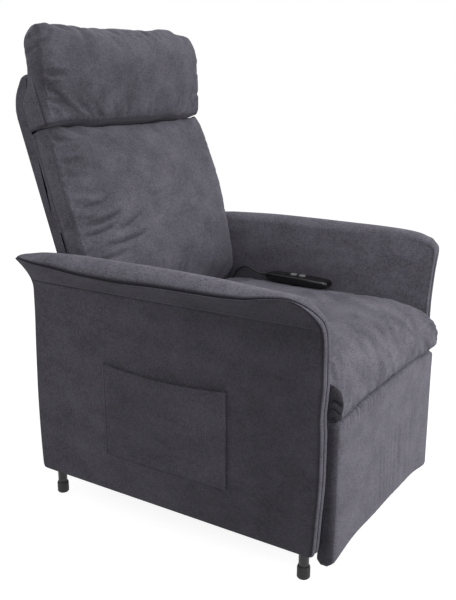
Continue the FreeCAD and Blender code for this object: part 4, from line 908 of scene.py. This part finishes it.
# A sewn edge runs up each side, between the face and the border
piping = bell(reach - 0.07, 0.003) * (np.abs(x) > 0.24) * rising(rise, 0.22, 0.06)
piping *= falling(rise, 0.475, 0.03)
x = x - 0.0015 * np.sign(x) * piping
side_limit = HALF_BACK + 0.013 * rising(rise, 0.27, 0.04)


def crease_wave(x, rise):
    """How far the line between cushion and pillow wanders up and down."""
    line = np.stack([x, np.zeros_like(x), np.full_like(x, 0.3)], axis=1)
    return 0.006 * soft_waves(line, 0.09, 12) * bell(rise - 0.5, 0.03)


set_points(cushion, lean_back(np.clip(x, -side_limit, side_limit), rise + crease_wave(x, rise), reach))
# Painted shade in the seam against the shell, along the piping and in the wrinkles' creases
shell_seam = bell(reach - 0.031, 0.0022) * (np.abs(x) > 0.26)
shade = np.maximum(np.maximum(0.55 * shell_seam, 0.35 * piping), np.clip(creased / 0.008, 0, 0.5))
# Painted shade on the face, most below the pillow and towards the right, with random patches
upper = rising(rise, 0.25, 0.2) * (0.1 + 0.12 * falling(x, 0.05, 0.25))
facing = rising(reach, 0.045, 0.03)
pile_tone_and_shade = facing * (0.25 + upper + 0.13 * soft_waves(points, 0.045, 15))
dress(cushion, back_chenille, "back", shade, pile_tone_and_shade)
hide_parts("back_cushion")

# Head pillow.
# A thick pillow sewn across the top of the back. It rolls over the shell, bulges over the cushion, and
# its ends are tucked.
PILLOW_OUTLINE = [
    (0, 0.5005, 0.088),
    (2, 0.5005, 0.0235),
    (2.3, 0.556, 0.0235),
    (2.7, 0.6, 0.054),
    (3, 0.628, 0.063),
    (3.3, 0.64, 0.061),
    (4, 0.695, 0.045),
    (4.4, 0.71, 0.051),
    (5, 0.7265, 0.07),
    (5.6, 0.7295, 0.095),
    (6, 0.7185, 0.122),
    (6.4, 0.694, 0.137),
    (6.8, 0.65, 0.141),
    (7.2, 0.6, 0.13),
    (7.6, 0.545, 0.111),
    (7.85, 0.512, 0.1),
    (8, 0.5005, 0.088),
]
pillow_middle = np.array([0.61, 0.085])
HALF_PILLOW, WIDEST_PILLOW = 0.2835, 0.292
pillow = back_piece(
    "head_pillow_cover",
    (84, 26, 44),
    HALF_PILLOW,
    PILLOW_OUTLINE,
    pillow_middle,
    base=0.075,
    ends=(0.3, 0.7),
    power=(3, 4.5),
    top_drop=0.156,
    rear_share=0.3,
)


def pillow_held(points):
    rise, reach = stand_up(points)
    ends = rising(np.abs(points[:, 0]), 0.276, 0.006) * falling(rise, 0.7, 0.04)
    low = falling(rise, 0.508, 0.006)
    rear = falling(reach, 0.06, 0.012)
    return np.maximum(np.maximum(ends, low), rear)


puff(pillow, voxel=0.0065, reach=0.014, held=pillow_held, slack=0.06)
points = points_of(pillow)
rise, reach = stand_up(points)
x = points[:, 0]
# The left top corner is full, and the right one is tucked in
right_top = rising(rise, 0.61, 0.11) ** 1.5 * falling(x, -0.14, 0.14)
x = x + 0.034 * right_top
left_top = 0.004 * rising(x, -0.05, 0.2) - 0.012 * rising(x, 0.2, 0.08) ** 2
rise = rise + left_top * rising(rise, 0.66, 0.05)
front_side = rising(reach, 0.08, 0.02)
reach = reach + front_side * 0.004 * soft_waves(points, 0.1, 9)
PILLOW_WRINKLES = [
    (-0.165, 0.576, -0.18, 0.54, 0.004),
    (-0.284, 0.606, -0.226, 0.6, 0.006),
    (-0.284, 0.553, -0.23, 0.546, 0.006),
    (-0.284, 0.58, -0.25, 0.582, 0.004),
    (-0.284, 0.66, -0.235, 0.7, 0.007),
    (-0.262, 0.728, -0.25, 0.68, 0.005),
    (0.284, 0.6, 0.24, 0.604, 0.0034),
    (0.284, 0.552, 0.246, 0.548, 0.0034),
    (0.128, 0.722, 0.124, 0.694, 0.0018),
    (0.085, 0.722, 0.088, 0.69, 0.0022),
    (-0.026, 0.722, -0.022, 0.692, 0.002),
    (-0.125, 0.722, -0.128, 0.69, 0.0022),
    (-0.197, 0.72, -0.192, 0.694, 0.002),
    (0.06, 0.52, 0.064, 0.548, 0.0018),
    (-0.07, 0.518, -0.064, 0.542, 0.0018),
    (0.18, 0.518, 0.186, 0.54, 0.0018),
]
creased, raised = wrinkles(x, rise, PILLOW_WRINKLES)
reach = reach + front_side * (raised - creased)
side_seam = bell(reach - 0.076, 0.0022) * (np.abs(x) > 0.25) * falling(rise, 0.61, 0.03)
x = x - 0.003 * np.sign(x) * side_seam
low_crease = bell(rise - 0.502, 0.006)
within = np.clip(x, -WIDEST_PILLOW, WIDEST_PILLOW)
set_points(pillow, lean_back(within, rise + crease_wave(x, rise), reach))
# Painted shade in the low crease, the side seams and the wrinkles' creases
shade = np.maximum(np.maximum(0.6 * low_crease, 0.75 * side_seam), np.clip(creased / 0.012, 0, 0.5))
# Painted shade on the face, more towards the right, with random patches
facing = rising(reach, 0.07, 0.03)
pile_tone_and_shade = facing * (0.34 + 0.08 * falling(x, 0.1, 0.25) + 0.13 * soft_waves(points, 0.045, 16))
dress(pillow, back_chenille, "back", shade, pile_tone_and_shade)
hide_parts("head_pillow")

# Rear panel.
# A board covered in the same chenille closes the back of the chair between the arms.
panel_low, panel_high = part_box("rear_panel")
panel = slab(
    "rear_panel_cover",
    (60, 2, 60),
    half_width=panel_high.x,
    low=panel_low.z,
    top=panel_high.z,
    front=panel_low.y,
    rear=panel_high.y,
    corners=(0.006, 0.006),
    edge_share=0.7,
)
dress(panel, grey_chenille, "chair")
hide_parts("rear_panel")

# Handset.
# A moulded black plastic remote with two paler round keys, lying on the seat beside the left arm, and a
# moulded gland for its cord.
glossy_black = hard_finish(
    "handset_plastic", (0.004, 0.004, 0.0045), (0.009, 0.009, 0.01), roughness=0.2, scale=200
)
HANDSET = Vector((0.246, ARMS_FRONT + 0.346, 0.4895))
HANDSET_TURN = math.radians(-4)
HALF_CASE = np.array([0.026, 0.095, 0.0115])


def turned(piece, points, angle, centre):
    """Turns points about the vertical through a centre."""
    x, y, z = (points - np.array(centre)).T
    cosine, sine = math.cos(angle), math.sin(angle)
    turned_points = np.stack([x * cosine - y * sine, x * sine + y * cosine, z], axis=1)
    set_points(piece, turned_points + np.array(centre))


CASE_POWER = 4.5
handset = cut_block("handset_case", (22, 60, 14))
grid = points_of(handset)
soft = grid / (np.abs(grid) ** CASE_POWER).sum(axis=1, keepdims=True) ** (1 / CASE_POWER)
case = soft * HALF_CASE
case[:, 0] *= 1 - 0.1 * (soft[:, 1] + 1) / 2
turned(handset, case + np.array(HANDSET), HANDSET_TURN, HANDSET)
paint(handset, glossy_black)
bpy.ops.object.shade_smooth()
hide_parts("handset")
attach(handset, "chair")
key_plastic = hard_finish("key_plastic", (0.2, 0.2, 0.205), (0.3, 0.3, 0.305), roughness=0.4, scale=200)
for node in ("button_up", "button_down"):
    paint(frame["nodes"][node], key_plastic)
paint(frame["nodes"]["handset_gland"], nylon)

# Handset cord.
# A short flexible black cord that leaves the handset's rear end and goes down into the corner of seat,
# back and arm.
cord_curve = bpy.data.curves.new("handset_lead", "CURVE")
cord_curve.dimensions = "3D"
cord_curve.bevel_depth = 0.0025
cord_curve.bevel_resolution = 6
cord_curve.use_fill_caps = True
CORD_POINTS = [
    (0.25388, 0.08013, 0.4895),
    (0.25493, 0.09513, 0.4895),
    (0.25818, 0.11713, 0.4985),
    (0.26258, 0.13913, 0.5025),
    (0.26598, 0.16113, 0.4925),
    (0.26788, 0.17813, 0.4745),
    (0.26868, 0.19013, 0.4455),
]
line = cord_curve.splines.new("NURBS")
line.points.add(len(CORD_POINTS) - 1)
for point, place in zip(line.points, CORD_POINTS):
    point.co = (*place, 1)
line.order_u = 3
line.use_endpoint_u = True
line.resolution_u = 16
cord = bpy.data.objects.new("handset_lead", cord_curve)
bpy.context.collection.objects.link(cord)
cord_curve.materials.append(rubber)
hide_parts("handset_cord")
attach(cord, "chair")

# Studio.
# A pale floor under three soft boxes, in front, beside the chair's right arm and above, and an even sky.
bpy.ops.object.select_all(action="DESELECT")
bpy.ops.mesh.primitive_plane_add(size=12, location=(0, 0, -0.001))
floor = bpy.context.object
floor.name = "studio_floor"
floor_material = bpy.data.materials.new("studio_floor")
floor_material.use_nodes = True
floor_nodes = floor_material.node_tree.nodes
floor_links = floor_material.node_tree.links
floor_shader = floor_nodes["Principled BSDF"]
floor_shader.inputs["Roughness"].default_value = 0.9
floor_shader.inputs["Specular IOR Level"].default_value = 0
floor_shader.inputs["Base Color"].default_value = (0.5, 0.5, 0.5, 1)
floor_shader.inputs["Emission Color"].default_value = (1, 1, 1, 1)


def seen_directly(nodes, links):
    """1 for what the camera sees, straight or by way of glossy and clear surfaces, and 0 for the light."""
    rays = nodes.new("ShaderNodeLightPath")
    value = rays.outputs["Is Camera Ray"]
    for kind in ("Is Glossy Ray", "Is Transmission Ray"):
        larger = nodes.new("ShaderNodeMath")
        larger.operation = "MAXIMUM"
        links.new(value, larger.inputs[0])
        links.new(rays.outputs[kind], larger.inputs[1])
        value = larger.outputs[0]
    return value


FLOOR_GLOW = 0.88
glow = floor_nodes.new("ShaderNodeMath")
glow.operation = "MULTIPLY"
glow.inputs[1].default_value = FLOOR_GLOW
floor_links.new(seen_directly(floor_nodes, floor_links), glow.inputs[0])
floor_links.new(glow.outputs[0], floor_shader.inputs["Emission Strength"])
floor.data.materials.append(floor_material)
world = bpy.data.worlds.new("studio_sky")
bpy.context.scene.world = world
world.use_nodes = True
sky = world.node_tree.nodes["Background"]
sky.inputs["Color"].default_value = (1, 1, 1, 1)
sky_power = world.node_tree.nodes.new("ShaderNodeMapRange")
sky_power.inputs["To Min"].default_value = 0.3
sky_power.inputs["To Max"].default_value = 1
white_sky = seen_directly(world.node_tree.nodes, world.node_tree.links)
world.node_tree.links.new(white_sky, sky_power.inputs["Value"])
world.node_tree.links.new(sky_power.outputs["Result"], sky.inputs["Strength"])
LAMP_AIM = Vector((0, -0.1, 0.5))
for name, place, energy, width in (
    ("front_softbox", (0.9, -2.3, 1.0), 25, 1.3),
    ("left_softbox", (-2.2, -1.6, 2.0), 21, 1.4),
    ("top_softbox", (0.2, -0.4, 2.8), 20, 1.6),
):
    lamp = bpy.data.lights.new(name, "AREA")
    lamp.energy = energy
    lamp.size = width
    lamp_object = bpy.data.objects.new(name, lamp)
    bpy.context.collection.objects.link(lamp_object)
    lamp_object.location = place
    beam = LAMP_AIM - Vector(place)
    lamp_object.rotation_euler = beam.to_track_quat("-Z", "Y").to_euler()

# Camera.
# It stands in front of the chair's right side, a little above the arms.
bpy.context.scene.view_settings.view_transform = "Standard"
lens = bpy.data.cameras.new("camera")
lens.lens = 48.972
lens.sensor_fit = "VERTICAL"
lens.sensor_height = 36
camera = bpy.data.objects.new("camera", lens)
bpy.context.collection.objects.link(camera)
camera.location = (-1.601, -1.0066, 1.0)
looking = Vector((0.8107, 0.5233, -0.26251))
camera.rotation_euler = looking.to_track_quat("-Z", "Y").to_euler()
bpy.context.scene.camera = camera
